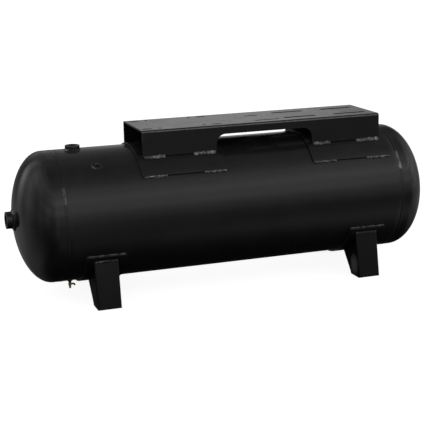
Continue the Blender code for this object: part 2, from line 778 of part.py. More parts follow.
# wing: a hub joined to two thumb pads drawn in the YZ plane, then bored through
THUMB_REACH = 12.0 * MM
THUMB_Z = -292.9 * MM
THUMB_HALF_H, THUMB_SWELL = 2.1 * MM, 0.9 * MM      # swell is added towards the tips
THUMB_HALF_T = 1.5 * MM
THUMB_SIDES = 20
WING_BORE_R = 2.6 * MM
thumb_outline = []
for i in range(THUMB_SIDES):
    angle = 2 * math.pi * i / THUMB_SIDES
    half_height = THUMB_HALF_H + THUMB_SWELL * abs(math.cos(angle))
    thumb_outline.append(
        (THUMB_REACH * math.cos(angle), THUMB_Z + half_height * math.sin(angle))
    )
wing = turned_for_cock("drain_cock_wing", from_mm(WING_HUB_PROFILE), brass)
thumb_mesh = outline_mesh(thumb_outline, THUMB_HALF_T)
boolean(wing, add_cutter("wing_join", thumb_mesh, ALONG_X, cock), "UNION")
wing_bore_place = shifted(0, 0, -292 * MM)
boolean(
    wing,
    cylinder_cutter("wing_bore", WING_BORE_R, 30 * MM, wing_bore_place, COCK_STEPS, cock),
)
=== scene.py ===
"""Looks of a horizontal air receiver: a welded tank on four folded legs, with a
plate deck on top, threaded couplings and a drain cock underneath.

Metres, +Z up, the floor at Z = 0.  +X runs along the vessel, so left is -X, and
the front is -Y.  Places come from the boxes of the CAD nodes, and each piece
rides on a CAD body.  Heights are mostly measured from the vessel's axis."""

import math
from itertools import count
from types import SimpleNamespace

import bmesh
import bpy
import numpy as np
from mathutils import Matrix, Vector


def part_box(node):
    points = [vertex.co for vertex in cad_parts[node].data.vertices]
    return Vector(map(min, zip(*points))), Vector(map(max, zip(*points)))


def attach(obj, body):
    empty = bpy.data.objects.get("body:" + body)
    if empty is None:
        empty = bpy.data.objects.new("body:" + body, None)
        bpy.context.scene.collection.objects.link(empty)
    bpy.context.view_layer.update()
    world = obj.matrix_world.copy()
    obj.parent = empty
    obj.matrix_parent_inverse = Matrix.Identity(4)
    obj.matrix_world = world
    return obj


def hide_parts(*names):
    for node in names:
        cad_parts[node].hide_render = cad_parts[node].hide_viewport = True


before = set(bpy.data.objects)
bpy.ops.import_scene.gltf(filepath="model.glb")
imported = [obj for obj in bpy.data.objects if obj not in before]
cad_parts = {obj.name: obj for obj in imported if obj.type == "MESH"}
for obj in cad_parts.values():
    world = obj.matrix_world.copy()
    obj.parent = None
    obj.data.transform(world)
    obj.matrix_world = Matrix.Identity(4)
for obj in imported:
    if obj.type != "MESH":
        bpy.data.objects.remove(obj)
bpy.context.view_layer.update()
MM = 0.001
SCENE = bpy.context.scene


# =================================================================== measures
# vessel
_lo, _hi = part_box("shell")
AXIS_Z = (_lo.z + _hi.z) / 2
RADIUS = (_hi.z - _lo.z) / 2
SHELL_END = _hi.x
_lo, _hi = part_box("girth_weld_right")
SEAM_X = (_lo.x + _hi.x) / 2
SEAM_HALF = (_hi.x - _lo.x) / 2
WALL = 4.6 * MM
SKIRT = 29.0 * MM           # straight part of a head, from the seam
HEAD_DEPTH = 127.0 * MM     # elliptical part of a head

# deck and saddles
DECK_LO, DECK_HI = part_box("deck")
DECK_HALF = (DECK_HI.y - DECK_LO.y) / 2
DECK_TOP = DECK_HI.z - AXIS_Z
DECK_FOOT = DECK_LO.z - AXIS_Z
PLATE = 6.35 * MM
BEND_RADIUS = 9.5 * MM
LEFT_SADDLE_LO, LEFT_SADDLE_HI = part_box("deck_saddle_left")
RIGHT_SADDLE_LO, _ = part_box("deck_saddle_right")
SADDLE_OUT = LEFT_SADDLE_HI.z - AXIS_Z
SADDLE_IN = SADDLE_OUT - PLATE
# half angle of a deck saddle from straight up, and of a foot saddle from straight down
DECK_WRAP = math.asin(min(1.0, LEFT_SADDLE_HI.y / SADDLE_OUT))
FOOT_LO, FOOT_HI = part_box("foot_saddle_right")
FOOT_WRAP = math.pi - math.acos((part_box("foot_saddle_left")[1].z - AXIS_Z) / SADDLE_OUT)

# ports
HOLE_GAP = 0.2 * MM         # between a coupling and the hole it stands in
GAUGE_TILT = math.radians(33.5)


def port_middle(node):
    """X and radius of a port on the shell."""
    lo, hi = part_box(node)
    return (lo.x + hi.x) / 2, (hi.x - lo.x) / 2


TOP_X, TOP_R = port_middle("top_port")
GAUGE_X, GAUGE_R = port_middle("gauge_port")
DRAIN_X, DRAIN_R = port_middle("drain_port")
_lo, _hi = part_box("end_port_right")
END_R = (_hi.y - _lo.y) / 2
END_FACE = _hi.x - SEAM_X
END_INNER = _lo.x - SEAM_X

# frames
ALONG_X = Matrix(((0, 0, 1, 0), (1, 0, 0, 0), (0, 1, 0, 0), (0, 0, 0, 1)))
TURN_X = Matrix.Rotation(math.pi / 2, 4, "Y")
AT_AXIS = Matrix.Translation((0, 0, AXIS_Z))
RIGHT_END = AT_AXIS @ Matrix.Translation((SEAM_X, 0, 0)) @ TURN_X
LEFT_END = (
    AT_AXIS @ Matrix.Rotation(math.pi, 4, "Z") @ Matrix.Translation((SEAM_X, 0, 0)) @ TURN_X
)
ENDS = (("left", LEFT_END), ("right", RIGHT_END))
AT_TOP = AT_AXIS @ Matrix.Translation((TOP_X, 0, 0))
AT_GAUGE = AT_AXIS @ Matrix.Translation((GAUGE_X, 0, 0)) @ Matrix.Rotation(GAUGE_TILT, 4, "X")
AT_COCK = AT_AXIS @ Matrix.Translation((DRAIN_X, 0, 0))
AT_DRAIN = AT_COCK @ Matrix.Rotation(math.pi, 4, "X")


# ================================================================ mesh helpers
def finish_mesh(name, verts, faces, sharp=None, mat=None):
    mesh = bpy.data.meshes.new(name)
    mesh.from_pydata([tuple(map(float, v)) for v in verts], [], faces)
    work = bmesh.new()
    work.from_mesh(mesh)
    bmesh.ops.recalc_face_normals(work, faces=work.faces)
    work.to_mesh(mesh)
    work.free()
    obj = add_object(name, mesh)
    mesh.shade_smooth()
    if sharp:
        mesh.set_sharp_from_angle(angle=math.radians(sharp))
    if mat is not None:
        mesh.materials.append(mat)
    return obj


def add_object(name, data):
    obj = bpy.data.objects.new(name, data)
    SCENE.collection.objects.link(obj)
    return obj


def grid_mesh(name, points, closed=False, sharp=None, mat=None):
    """A tube of points[u, v], always closed round v.  Round u it is either
    closed too, or left open with a flat cap on each end."""
    nu, nv = points.shape[:2]
    index = np.arange(nu * nv).reshape(nu, nv)
    i = np.arange(nu if closed else nu - 1)[:, None]
    j = np.arange(nv)[None, :]
    next_i, next_j = (i + 1) % nu, (j + 1) % nv
    quads = np.stack(
        [index[i, j], index[next_i, j], index[next_i, next_j], index[i, next_j]], -1
    )
    faces = quads.reshape(-1, 4).tolist()
    if not closed:
        faces.append(list(range(nv)))
        faces.append(list(range((nu - 1) * nv, nu * nv)))
    return finish_mesh(name, points.reshape(-1, 3), faces, sharp=sharp, mat=mat)


def turned(name, profile, steps, place, sharp=None, mat=None, radius=None):
    """A closed profile of (radius, height) turned round local Z.  radius, if
    given, changes the radius by angle: radius(theta, r, h)."""
    profile = np.array(profile, float)
    theta = np.arange(steps) * 2 * math.pi / steps
    r = np.repeat(profile[None, :, 0], steps, 0)
    h = np.repeat(profile[None, :, 1], steps, 0)
    if radius is not None:
        r = radius(theta[:, None], r, h)
    points = np.stack([r * np.cos(theta)[:, None], r * np.sin(theta)[:, None], h], -1)
    return grid_mesh(name, moved(points, place), closed=True, sharp=sharp, mat=mat)


def moved(points, place):
    m = np.array(place, float)
    return points @ m[:3, :3].T + m[:3, 3]


def densify(profile, longest):
    """Adds points to a closed profile so that no side is longer than longest."""
    out = []
    for i, start in enumerate(profile):
        a, b = np.array(start), np.array(profile[(i + 1) % len(profile)])
        pieces = max(1, int(math.ceil(np.linalg.norm(b - a) / longest)))
        out += [tuple(a + (b - a) * k / pieces) for k in range(pieces)]
    return out


def rounded(profile, radii, segments):
    """Rounds the corners of a closed profile; radii holds one radius a corner."""
    out = []
    for i, radius in enumerate(radii):
        corner = np.array(profile[i], float)
        if radius <= 0:
            out.append(tuple(corner))
            continue
        before = np.array(profile[i - 1], float) - corner
        after = np.array(profile[(i + 1) % len(profile)], float) - corner
        len_before, len_after = np.linalg.norm(before), np.linalg.norm(after)
        before, after = before / len_before, after / len_after
        half = math.acos(float(before @ after)) / 2
        trim = min(radius / math.tan(half), 0.45 * len_before, 0.45 * len_after)
        start, end = corner + before * trim, corner + after * trim
        for k in range(segments + 1):
            t = k / segments
            out.append(tuple((1 - t) ** 2 * start + 2 * t * (1 - t) * corner + t * t * end))
    return out


def apply_modifiers(obj):
    """Freezes the object's modifiers into its mesh."""
    bpy.context.view_layer.update()
    graph = bpy.context.evaluated_depsgraph_get()
    mesh = bpy.data.meshes.new_from_object(obj.evaluated_get(graph))
    obj.modifiers.clear()
    old = obj.data
    obj.data = mesh
    mesh.name = obj.name
    if old.users == 0:
        bpy.data.meshes.remove(old)


def cut(obj, *cutters, operation="DIFFERENCE"):
    """Cuts the cutters out of obj, or joins them to it, and removes them."""
    for cutter in cutters:
        mod = obj.modifiers.new("cut", "BOOLEAN")
        mod.operation = operation
        mod.solver = "EXACT"
        mod.object = cutter
    apply_modifiers(obj)
    for cutter in cutters:
        bpy.data.objects.remove(cutter)


def tidy(obj):
    """Merges double points, drops loose ones and turns the normals outward."""
    tolerance = 1e-6
    work = bmesh.new()
    work.from_mesh(obj.data)
    bmesh.ops.remove_doubles(work, verts=work.verts, dist=tolerance)
    bmesh.ops.dissolve_degenerate(work, edges=work.edges, dist=tolerance)
    loose = [v for v in work.verts if not v.link_faces]
    bmesh.ops.delete(work, geom=loose, context="VERTS")
    bmesh.ops.recalc_face_normals(work, faces=work.faces)
    work.to_mesh(obj.data)
    work.free()


def smooth(obj, sharp):
    obj.data.shade_smooth()
    obj.data.set_sharp_from_angle(angle=math.radians(sharp))


def weight_normals(obj):
    mod = obj.modifiers.new("weighted", "WEIGHTED_NORMAL")
    mod.keep_sharp = True
    mod.weight = 80


def ease_edges(obj, width, angle, segments=2):
    """Rounds every edge sharper than angle a little, as on dressed, painted plate."""
    mod = obj.modifiers.new("ease", "BEVEL")
    mod.width = width
    mod.segments = segments
    mod.limit_method = "ANGLE"
    mod.angle_limit = math.radians(angle)
    mod.harden_normals = False
    mod.miter_outer = "MITER_ARC"
    apply_modifiers(obj)
    smooth(obj, sharp=50)
    weight_normals(obj)


def repaint(obj, mat):
    """Leaves mat as the only material, whatever a cut has brought in."""
    obj.data.materials.clear()
    obj.data.materials.append(mat)


def cylinder(name, radius, depth, place, sides):
    work = bmesh.new()
    bmesh.ops.create_cone(
        work, cap_ends=True, segments=sides, radius1=radius, radius2=radius, depth=depth
    )
    bmesh.ops.transform(work, matrix=place, verts=work.verts)
    return object_from(work, name)


def object_from(work, name):
    mesh = bpy.data.meshes.new(name)
    work.to_mesh(mesh)
    work.free()
    return add_object(name, mesh)


def prism(name, outline, half, place):
    """A closed outline of (x, y), drawn out by half each way along local Z."""
    n = len(outline)
    points = [(x, y, z) for z in (-half, half) for x, y in outline]
    faces = [list(range(n)), list(range(n, 2 * n))]
    faces += [[i, (i + 1) % n, n + (i + 1) % n, n + i] for i in range(n)]
    obj = finish_mesh(name, points, faces)
    obj.data.transform(place)
    tidy(obj)
    return obj


def arc(radius, start, end, steps, centre=(0.0, 0.0)):
    """Points of an arc whose angles run from +Y towards +X of the outline."""
    angles = [start + (end - start) * i / steps for i in range(steps + 1)]
    return [(centre[0] + radius * math.sin(a), centre[1] + radius * math.cos(a)) for a in angles]


def angle_gap(angle, other):
    """Signed difference of two angles in degrees, from -180 to 180."""
    return (angle - other + 180) % 360 - 180


def swell_at(angle, spread, steps):
    """A hump of height 1 near one angle, sampled once round the circle."""
    return np.exp(-((angle_gap(np.linspace(0, 360, steps), angle) / spread) ** 2))


def mark_faces(obj, mat, chosen):
    """Gives mat to the faces whose centres are chosen."""
    obj.data.materials.append(mat)
    for poly in obj.data.polygons:
        if chosen(poly.center):
            poly.material_index = 1


def fit(obj, node, body="tank"):
    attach(obj, body)
    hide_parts(node)


# ================================================================ weld beads
RIPPLE_STEPS = 6        # samples along one ripple
BEAD_COLUMNS = 13       # points across the bead's face
END_TAPER = 6.0 * MM    # length over which an open bead's ends close


def wander(seed, cell, u, period=None):
    """Smooth, repeatable unevenness along u, from -1 to 1, one knot a cell."""
    values = np.random.RandomState(seed).uniform(-1, 1, 512)
    if period is None:
        knots = len(values)
        x = u / cell
    else:
        knots = max(2, int(round(period / cell)))
        x = u / period * knots
    i = np.floor(x).astype(int)
    f = x - i
    f = f * f * (3 - 2 * f)
    return values[i % knots] * (1 - f) + values[(i + 1) % knots] * f


def run_ends(u, total, seed, runs):
    """Size and extra crown along an open bead laid in so many runs."""
    t = np.clip(np.minimum(u, total - u) / END_TAPER, 0, 1)
    size = np.sqrt(np.clip(1 - (1 - t) ** 2, 0, 1)) * 0.97 + 0.03
    # the start is lumpier than the stop
    lump = 0.9 * np.exp(-(((u - END_TAPER * 0.9) / (END_TAPER * 0.6)) ** 2))
    lump = lump + 0.5 * np.exp(-(((total - u - END_TAPER * 0.9) / (END_TAPER * 0.5)) ** 2))
    for k in range(1, runs):
        # a run stops in a crater and the next one starts over it
        at = total * (k / runs + 0.05 * math.sin(seed + 2.1 * k))
        dip = np.exp(-(((u - at) / (4.2 * MM)) ** 2))
        size = size * (1 - 0.62 * dip)
        lump = lump + 0.8 * np.exp(-(((u - at - 9 * MM) / (5.0 * MM)) ** 2))
    return size, lump


def lay_run(path, up, side, ripple, depth, seed, closed, width_wander, lumpy, runs=1):
    """Samples a weld's path and directions, and works out its uneven shape:
    share of the length, size, extra lump, the two widths, crown height and,
    over the face, belly and ripple relief."""
    path, up, side = (np.asarray(a, float) for a in (path, up, side))
    seg = np.linalg.norm(np.diff(path, axis=0), axis=1)
    if closed:
        seg = np.append(seg, np.linalg.norm(path[0] - path[-1]))
        path, up, side = (np.vstack([a, a[:1]]) for a in (path, up, side))
    total = seg.sum()
    along = np.concatenate([[0], np.cumsum(seg)])
    waves = max(3, round(total / ripple))
    ripple = total / waves
    n = int(waves * RIPPLE_STEPS)
    u = np.arange(n) * total / n if closed else np.linspace(0, total, n)
    path, up, side = (
        np.stack([np.interp(u, along, a[:, k]) for k in range(3)], -1)
        for a in (path, up, side)
    )
    up /= np.linalg.norm(up, axis=1)[:, None]
    side /= np.linalg.norm(side, axis=1)[:, None]
    period = total if closed else None
    widths = (
        1 + width_wander * wander(seed, 9 * MM, u, period),
        1 + width_wander * wander(seed + 7, 11 * MM, u, period),
    )
    high = 1 + lumpy * 0.30 * wander(seed + 13, 9 * MM, u, period)
    high = high + lumpy * 0.24 * wander(seed + 17, 23 * MM, u, period)
    high = np.clip(high, 0.25, None)
    jitter = 0.25 * wander(seed + 21, 5 * MM, u, period)
    size, lump = (np.ones(n), np.zeros(n)) if closed else run_ends(u, total, seed, runs)
    # ripples trail back in the middle, rising slowly and falling fast
    belly = np.sin(math.pi * np.linspace(0, 1, BEAD_COLUMNS))
    rise = 0.72
    phase = (u / ripple)[:, None] + jitter[:, None] - 0.62 * belly[None, :] ** 1.3
    wave = phase - np.floor(phase)
    scale = np.where(wave < rise, wave / rise, (1 - wave) / (1 - rise))
    scale = scale * scale * (3 - 2 * scale) - 0.5
    relief = depth * scale * belly[None, :] ** 0.6 * size[:, None]
    return SimpleNamespace(
        path=path, up=up, side=side, share=u / total, size=size, lump=lump,
        widths=widths, high=high, belly=belly, relief=relief,
    )


def spread_along(run, values):
    return np.interp(run.share, np.linspace(0, 1, len(values)), values)


def fillet(
    name, path, up, side, legs, mat, ripple, depth, crown, seed, root,
    width_wander=0.07, lumpy=1.0, runs=1, closed=False, swell=None,
):
    """A fillet weld along path.  up and side point along the two faces, and legs
    holds the leg lengths on them; root is how far it sinks into the metal."""
    run = lay_run(path, up, side, ripple, depth, seed, closed, width_wander, lumpy, runs)
    path, up, side = run.path, run.up, run.side
    grow = 1 if swell is None else spread_along(run, swell)
    wide_up, wide_side = (width * grow * run.size for width in run.widths)
    a = np.linspace(0, 1, BEAD_COLUMNS)[None, :]
    base = (
        path[:, None, :]
        + up[:, None, :] * ((1 - a) * legs[0] * wide_up[:, None])[..., None]
        + side[:, None, :] * (a * legs[1] * wide_side[:, None])[..., None]
    )
    out = up * legs[1] + side * legs[0]
    out /= np.linalg.norm(out, axis=1)[:, None]
    lift = crown * min(legs) * (run.high * run.size * (1 + run.lump))[:, None]
    lift = lift * run.belly[None, :]
    surface = base + out[:, None, :] * (lift + run.relief)[..., None]
    corner_up = path + up * (legs[0] * wide_up)[:, None] - side * root
    corner_side = path + side * (legs[1] * wide_side)[:, None] - up * root
    back = path - out * root
    rows = [corner_up[:, None], surface, corner_side[:, None], back[:, None]]
    return grid_mesh(name, np.concatenate(rows, 1), closed=closed, mat=mat)


def butt_cap(
    name, path, up, side, half, height, mat, ripple, depth, seed, root,
    width_wander=0.07, lumpy=1.0, closed=False, crown_swell=None,
):
    """A butt weld's crowned cap, with side across it and up out of it."""
    run = lay_run(path, up, side, ripple, depth, seed, closed, width_wander, lumpy)
    path, up, side = run.path, run.up, run.side
    high, relief = run.high, run.relief
    if crown_swell is not None:
        grow = spread_along(run, crown_swell)
        high = high * grow
        relief = relief * grow[:, None]
    a = np.linspace(-1, 1, BEAD_COLUMNS)[None, :]
    spread = (half * run.widths[0] * run.size)[:, None]
    dome = np.clip(1 - np.abs(a) ** 2.4, 0, 1)
    lift = height * (high * run.size)[:, None] * dome
    surface = (
        path[:, None, :]
        + side[:, None, :] * (a * spread)[..., None]
        + up[:, None, :] * (lift + relief * 0.9)[..., None]
    )
    low_start = path - side * spread - up * root
    low_end = path + side * spread - up * root
    rows = np.concatenate([low_start[:, None], surface, low_end[:, None]], 1)
    return grid_mesh(name, rows, closed=closed, mat=mat)


def straight(x0, x1, at, up, side, steps=10):
    """Path and directions of a bead along X, given as (y, z) from the axis."""
    xs = np.linspace(x0, x1, steps)
    path = np.stack([xs, np.full(steps, at[0]), np.full(steps, at[1] + AXIS_Z)], -1)
    return path, np.tile([0, *up], (steps, 1)), np.tile([0, *side], (steps, 1))


# ================================================================== materials
class Graph:
    """Adds shader nodes to a tree.  A value may be a number or a node's output."""

    def __init__(self, tree):
        self.tree = tree

    def fill(self, node, values):
        for key, value in values.items():
            if isinstance(value, bpy.types.NodeSocket):
                self.tree.links.new(value, node.inputs[key])
            else:
                node.inputs[key].default_value = value

    def node(self, kind, inputs, **settings):
        made = self.tree.nodes.new("ShaderNode" + kind)
        for key, value in settings.items():
            setattr(made, key, value)
        self.fill(made, inputs)
        return made

    def calc(self, operation, *values, clamp=False):
        values = dict(enumerate(values))
        return self.node("Math", values, operation=operation, use_clamp=clamp).outputs[0]

    def plus(self, a, b, clamp=False):
        return self.calc("ADD", a, b, clamp=clamp)

    def times(self, a, b, clamp=False):
        return self.calc("MULTIPLY", a, b, clamp=clamp)

    def scaled(self, value, by, plus, clamp=False):
        return self.calc("MULTIPLY_ADD", value, by, plus, clamp=clamp)

    def vector(self, operation, *values):
        return self.node("VectorMath", dict(enumerate(values)), operation=operation).outputs

    def xyz(self, vector):
        return self.node("SeparateXYZ", {0: vector}).outputs

    def ramp(self, source, start, end, low=0.0):
        """Rises from low at start to white at end."""
        made = self.node("ValToRGB", {"Fac": source})
        stops = ((start, low), (end, 1.0))
        for element, (position, grey) in zip(made.color_ramp.elements, stops):
            element.position = position
            element.color = (grey, grey, grey, 1.0)
        return made.outputs["Color"]

    def mix(self, factor, a, b):
        a, b = ((*c, 1.0) if isinstance(c, tuple) else c for c in (a, b))
        values = {"Factor": factor, "A": a, "B": b}
        return self.node("Mix", values, data_type="RGBA").outputs["Result"]

    def noise(self, vector, scale, detail=3.0, rough=0.55, distortion=0.0):
        values = {
            "Vector": vector, "Scale": scale, "Detail": detail, "Roughness": rough,
            "Distortion": distortion,
        }
        return self.node("TexNoise", values).outputs["Fac"]

    def stretched(self, vector, scale):
        return self.node("Mapping", {"Vector": vector, "Scale": scale}).outputs["Vector"]

    def bump(self, height, strength, distance):
        values = {"Strength": strength, "Distance": distance, "Height": height}
        return self.node("Bump", values).outputs["Normal"]


def new_material(name):
    mat = bpy.data.materials.new(name)
    mat.use_nodes = True
    g = Graph(mat.node_tree)
    coord = g.node("TexCoord", {}).outputs["Object"]
    return mat, g, mat.node_tree.nodes["Principled BSDF"], coord


def settled_dust(g, coord, facing, dust):
    """Share of dust on upward faces, in drifts and specks."""
    drift_cover, speck_cover = 0.055, 0.07
    drift = g.noise(coord, scale=22.0, detail=5.0, rough=0.62, distortion=0.4)
    drift = g.ramp(drift, start=0.38, end=0.72, low=0.15)
    specks = g.noise(coord, scale=900.0, detail=1.0, rough=0.5)
    specks = g.ramp(specks, start=0.62, end=0.70)
    drifted = g.times(g.times(facing, drift), dust * drift_cover)
    specked = g.times(g.times(facing, specks), dust * speck_cover)
    return g.plus(drifted, specked, clamp=True)


def worn_edges(g, coord, normal, wear):
    """Share of thin, worn paint along edges."""
    near = g.node("Bevel", {"Radius": 1.8 * MM}, samples=3)
    agree = g.vector("DOT_PRODUCT", near.outputs["Normal"], normal)["Value"]
    edge = g.scaled(agree, by=-9.0, plus=8.9, clamp=True)
    broken = g.noise(coord, scale=240.0, detail=4.0, rough=0.7)
    broken = g.ramp(broken, start=0.40, end=0.66)
    return g.times(g.times(edge, broken), wear, clamp=True)


def painted_bend_highlight(g, coord, normal_z, amount):
    """Share of painted highlight on a plate's bent corner, where the normal tilts outward."""
    bend = g.calc("ABSOLUTE", g.calc("SUBTRACT", normal_z, 0.40))
    bend = g.scaled(bend, by=-4.5, plus=1.35, clamp=True)
    along = g.noise(coord, scale=55.0, detail=4.0, rough=0.6)
    along = g.ramp(along, start=0.34, end=0.62, low=0.45)
    return g.times(g.times(bend, along), amount, clamp=True)


def leg_film(g, coord, normal_x, base, level, dull_foot, lit_patch):
    """Base colour and specular level of a leg, with painted shade on the faces towards -X
    and towards the floor, and a painted pool of light at an optional (place, size)."""
    # painted shade: darker, less glossy paint on the faces towards -X
    shaded_side = g.scaled(normal_x, by=-5.0, plus=-3.6, clamp=True)
    # painted shade: less glossy paint towards the floor
    low = g.scaled(g.xyz(coord)["Z"], by=-8.0, plus=1.25, clamp=True)
    gloss = g.scaled(low, by=-dull_foot, plus=level)
    unshaded_side = g.calc("SUBTRACT", 1.0, shaded_side)
    base = g.mix(g.times(shaded_side, 0.5), base, (0.0015, 0.0015, 0.0016))
    amount = g.scaled(unshaded_side, by=gloss, plus=0.004)
    # painted pool of light: a lighter, glossier patch with a ragged edge
    if lit_patch is not None:
        place, size = lit_patch
        spread = g.vector("DIVIDE", g.vector("SUBTRACT", coord, place)[0], size)[0]
        far = g.vector("LENGTH", spread)["Value"]
        patch_edge_noise = g.noise(coord, scale=60.0, detail=3.0, rough=0.6)
        reach = g.scaled(patch_edge_noise, by=0.7, plus=far)
        lit_share = g.scaled(reach, by=-1.25, plus=1.85, clamp=True)
        amount = g.scaled(lit_share, by=0.22, plus=amount)
        base = g.mix(g.times(lit_share, 0.50), base, (0.075, 0.074, 0.072))
    return base, amount


def enamel_height(g, coord, waviness, rolling, turning):
    """Orange peel, plus slow waves and rolled or turned marks where asked for."""
    height = g.noise(coord, scale=420.0, detail=2.0, rough=0.45)
    if waviness:
        slow = g.noise(coord, scale=9.0, detail=1.0, rough=0.4)
        height = g.scaled(slow, by=waviness, plus=height)
    if rolling is not None:
        grain = g.noise(g.stretched(coord, rolling), scale=1.0, detail=3.0, rough=0.6)
        height = g.scaled(grain, by=0.8, plus=height)
    if turning:
        rings = g.node(
            "TexWave",
            {"Vector": coord, "Scale": 260.0, "Distortion": 1.5, "Detail": 1.0},
            wave_type="RINGS", rings_direction="SPHERICAL",
        )
        height = g.scaled(rings.outputs["Fac"], by=0.35, plus=height)
    return height


def enamel(
    name, colour=(0.0105, 0.0105, 0.0110), rough=0.21, peel=0.10, dust=0.5,
    wear=0.35, rolling=None, turning=False, coat=0.0, waviness=0.0, level=0.5, bare=0.0,
    lit_patch=None, top_sheen=0.0, bend_highlight=0.0, dull_foot=0.0,
):
    """Satin black enamel on steel.  peel is the bump's strength, level the specular
    level, bare the metal showing in patches, rolling the grain's stretch, and
    dull_foot, set on the legs, turns on their painted shade towards -X and the floor."""
    mat, g, shader, coord = new_material(name)
    normal = g.node("NewGeometry", {}).outputs["Normal"]
    # faint cloudy variation in the film
    cloud = g.noise(coord, scale=7.0, detail=4.0, rough=0.6)
    fine = g.noise(coord, scale=160.0, detail=2.0, rough=0.5)
    light = tuple(c * 1.28 for c in colour)
    dark = tuple(c * 0.84 for c in colour)
    base = g.mix(g.ramp(cloud, start=0.32, end=0.68), dark, light)
    axes = g.xyz(normal)
    facing = g.scaled(axes["Z"], by=1.5, plus=-0.55, clamp=True)
    settled = settled_dust(g, coord, facing, dust)
    base = g.mix(settled, base, (0.34, 0.335, 0.32))
    if wear:
        base = g.mix(worn_edges(g, coord, normal, wear), base, (0.12, 0.117, 0.112))
    # painted highlight: a lighter band on the bends, where the normal tilts outward
    if bend_highlight:
        base = g.mix(painted_bend_highlight(g, coord, axes["Z"], bend_highlight), base, (0.20, 0.195, 0.188))
    if bare:
        # weld metal burnished through the paint in short patches
        patch = g.noise(coord, scale=78.0, detail=3.0, rough=0.6, distortion=0.6)
        patch = g.times(g.ramp(patch, start=0.50, end=0.62), bare, clamp=True)
        base = g.mix(patch, base, (0.42, 0.415, 0.41))
        g.fill(shader, {"Metallic": patch})
    # wipe marks along the vessel, and duller where dust lies
    wipe = g.stretched(coord, (6.0, 42.0, 42.0))
    wipe = g.noise(wipe, scale=1.0, detail=5.0, rough=0.62, distortion=0.3)
    wipe = g.ramp(wipe, start=0.3, end=0.75)
    roughness = g.scaled(wipe, by=0.06, plus=rough - 0.03)
    roughness = g.plus(roughness, g.scaled(fine, by=0.04, plus=-0.02))
    roughness = g.plus(roughness, g.times(settled, 1.6), clamp=True)
    shader.inputs["Specular IOR Level"].default_value = level
    if top_sheen:
        sheen = g.scaled(facing, by=top_sheen, plus=level)
        g.fill(shader, {"Specular IOR Level": sheen})
    if dull_foot:
        # painted shade on the legs, and a painted pool of light where a patch is given
        base, amount = leg_film(g, coord, axes["X"], base, level, dull_foot, lit_patch)
        g.fill(shader, {"Specular IOR Level": amount})
    height = enamel_height(g, coord, waviness, rolling, turning)
    g.fill(shader, {
        "Base Color": base,
        "Roughness": roughness,
        "Coat Weight": coat,
        "Coat Roughness": 0.09,
        "Normal": g.bump(height, strength=peel, distance=0.0006),
    })
    return mat


def brass(name, tone=1.0, dark_past=()):
    """Machined brass, a little tarnished, with turning marks.  dark_past lists
    (axis, limit, ragged width) past which it is blackened."""
    mat, g, shader, coord = new_material(name)
    tarnish = g.noise(coord, scale=260.0, detail=4.0, rough=0.6, distortion=0.6)
    tarnish = g.ramp(tarnish, start=0.38, end=0.70)
    clean = tuple(c * tone for c in (0.64, 0.49, 0.20))
    base = g.mix(tarnish, clean, tuple(c * tone for c in (0.25, 0.20, 0.09)))
    metal = 1.0
    if dark_past:
        ragged = g.noise(coord, scale=420.0, detail=3.0, rough=0.6)
        where = g.xyz(coord)
    for axis, limit, width in dark_past:
        reach = g.calc("SUBTRACT", where[axis], limit)
        reach = g.plus(g.calc("DIVIDE", reach, width), 0.5)
        reach = g.plus(reach, g.scaled(ragged, by=2.0, plus=-1.0), clamp=True)
        base = g.mix(reach, base, (0.012, 0.011, 0.010))
        metal = g.times(g.calc("SUBTRACT", 1.0, reach), metal)
    lines = g.node(
        "TexWave", {"Vector": coord, "Scale": 900.0, "Distortion": 0.6},
        wave_type="BANDS", bands_direction="Z",
    )
    grain = g.noise(coord, scale=1500.0, detail=2.0)
    height = g.scaled(grain, by=0.8, plus=lines.outputs["Fac"])
    g.fill(shader, {
        "Base Color": base,
        "Metallic": metal,
        "Roughness": g.scaled(tarnish, by=0.22, plus=0.24),
        "Normal": g.bump(height, strength=0.12, distance=0.0002),
    })
    return mat


def rubber(name):
    mat, g, shader, coord = new_material(name)
    grain = g.noise(coord, scale=2500.0, detail=3.0)
    g.fill(shader, {
        "Base Color": g.mix(grain, (0.010, 0.010, 0.010), (0.028, 0.027, 0.026)),
        "Roughness": g.scaled(grain, by=0.2, plus=0.62),
        "Normal": g.bump(grain, strength=0.2, distance=0.0002),
    })
    return mat


def bare_steel(name, tone=1.0, matt=0.30):
    """Bare machined steel, dulled by oil and a little rust."""
    mat, g, shader, coord = new_material(name)
    stain = g.noise(coord, scale=180.0, detail=4.0, rough=0.65, distortion=0.5)
    stain = g.ramp(stain, start=0.42, end=0.72)
    clean = (0.105 * tone, 0.102 * tone, 0.098 * tone)
    grain = g.noise(coord, scale=1400.0, detail=2.0)
    g.fill(shader, {
        "Base Color": g.mix(stain, clean, (0.035, 0.028, 0.022)),
        "Metallic": g.scaled(stain, by=-0.35, plus=1.0),
        "Roughness": g.scaled(stain, by=0.25, plus=matt),
        "Normal": g.bump(grain, strength=0.2, distance=0.0003),
    })
    return mat


M_SHELL = enamel(
    "enamel_shell", peel=0.10, wear=0.0, rolling=(3.0, 240.0, 240.0), waviness=2.0, rough=0.22
)
M_HEAD = enamel("enamel_head", peel=0.08, wear=0.0, waviness=3.0, rough=0.15)
# the deck's bends carry a painted highlight
M_DECK = enamel(
    "enamel_deck", level=0.55, peel=0.06, wear=0.55, rolling=(4.0, 160.0, 160.0), dust=0.8,
    waviness=1.5, top_sheen=0.15, bend_highlight=0.95,
)
M_SADDLE = enamel("enamel_saddle", peel=0.07, wear=0.45, rolling=(180.0, 4.0, 4.0))
M_LEG = enamel(
    "enamel_leg", colour=(0.0075, 0.0075, 0.0079), peel=0.06, wear=0.5, waviness=1.5,
    rough=0.25, level=0.22, dull_foot=0.06,
)
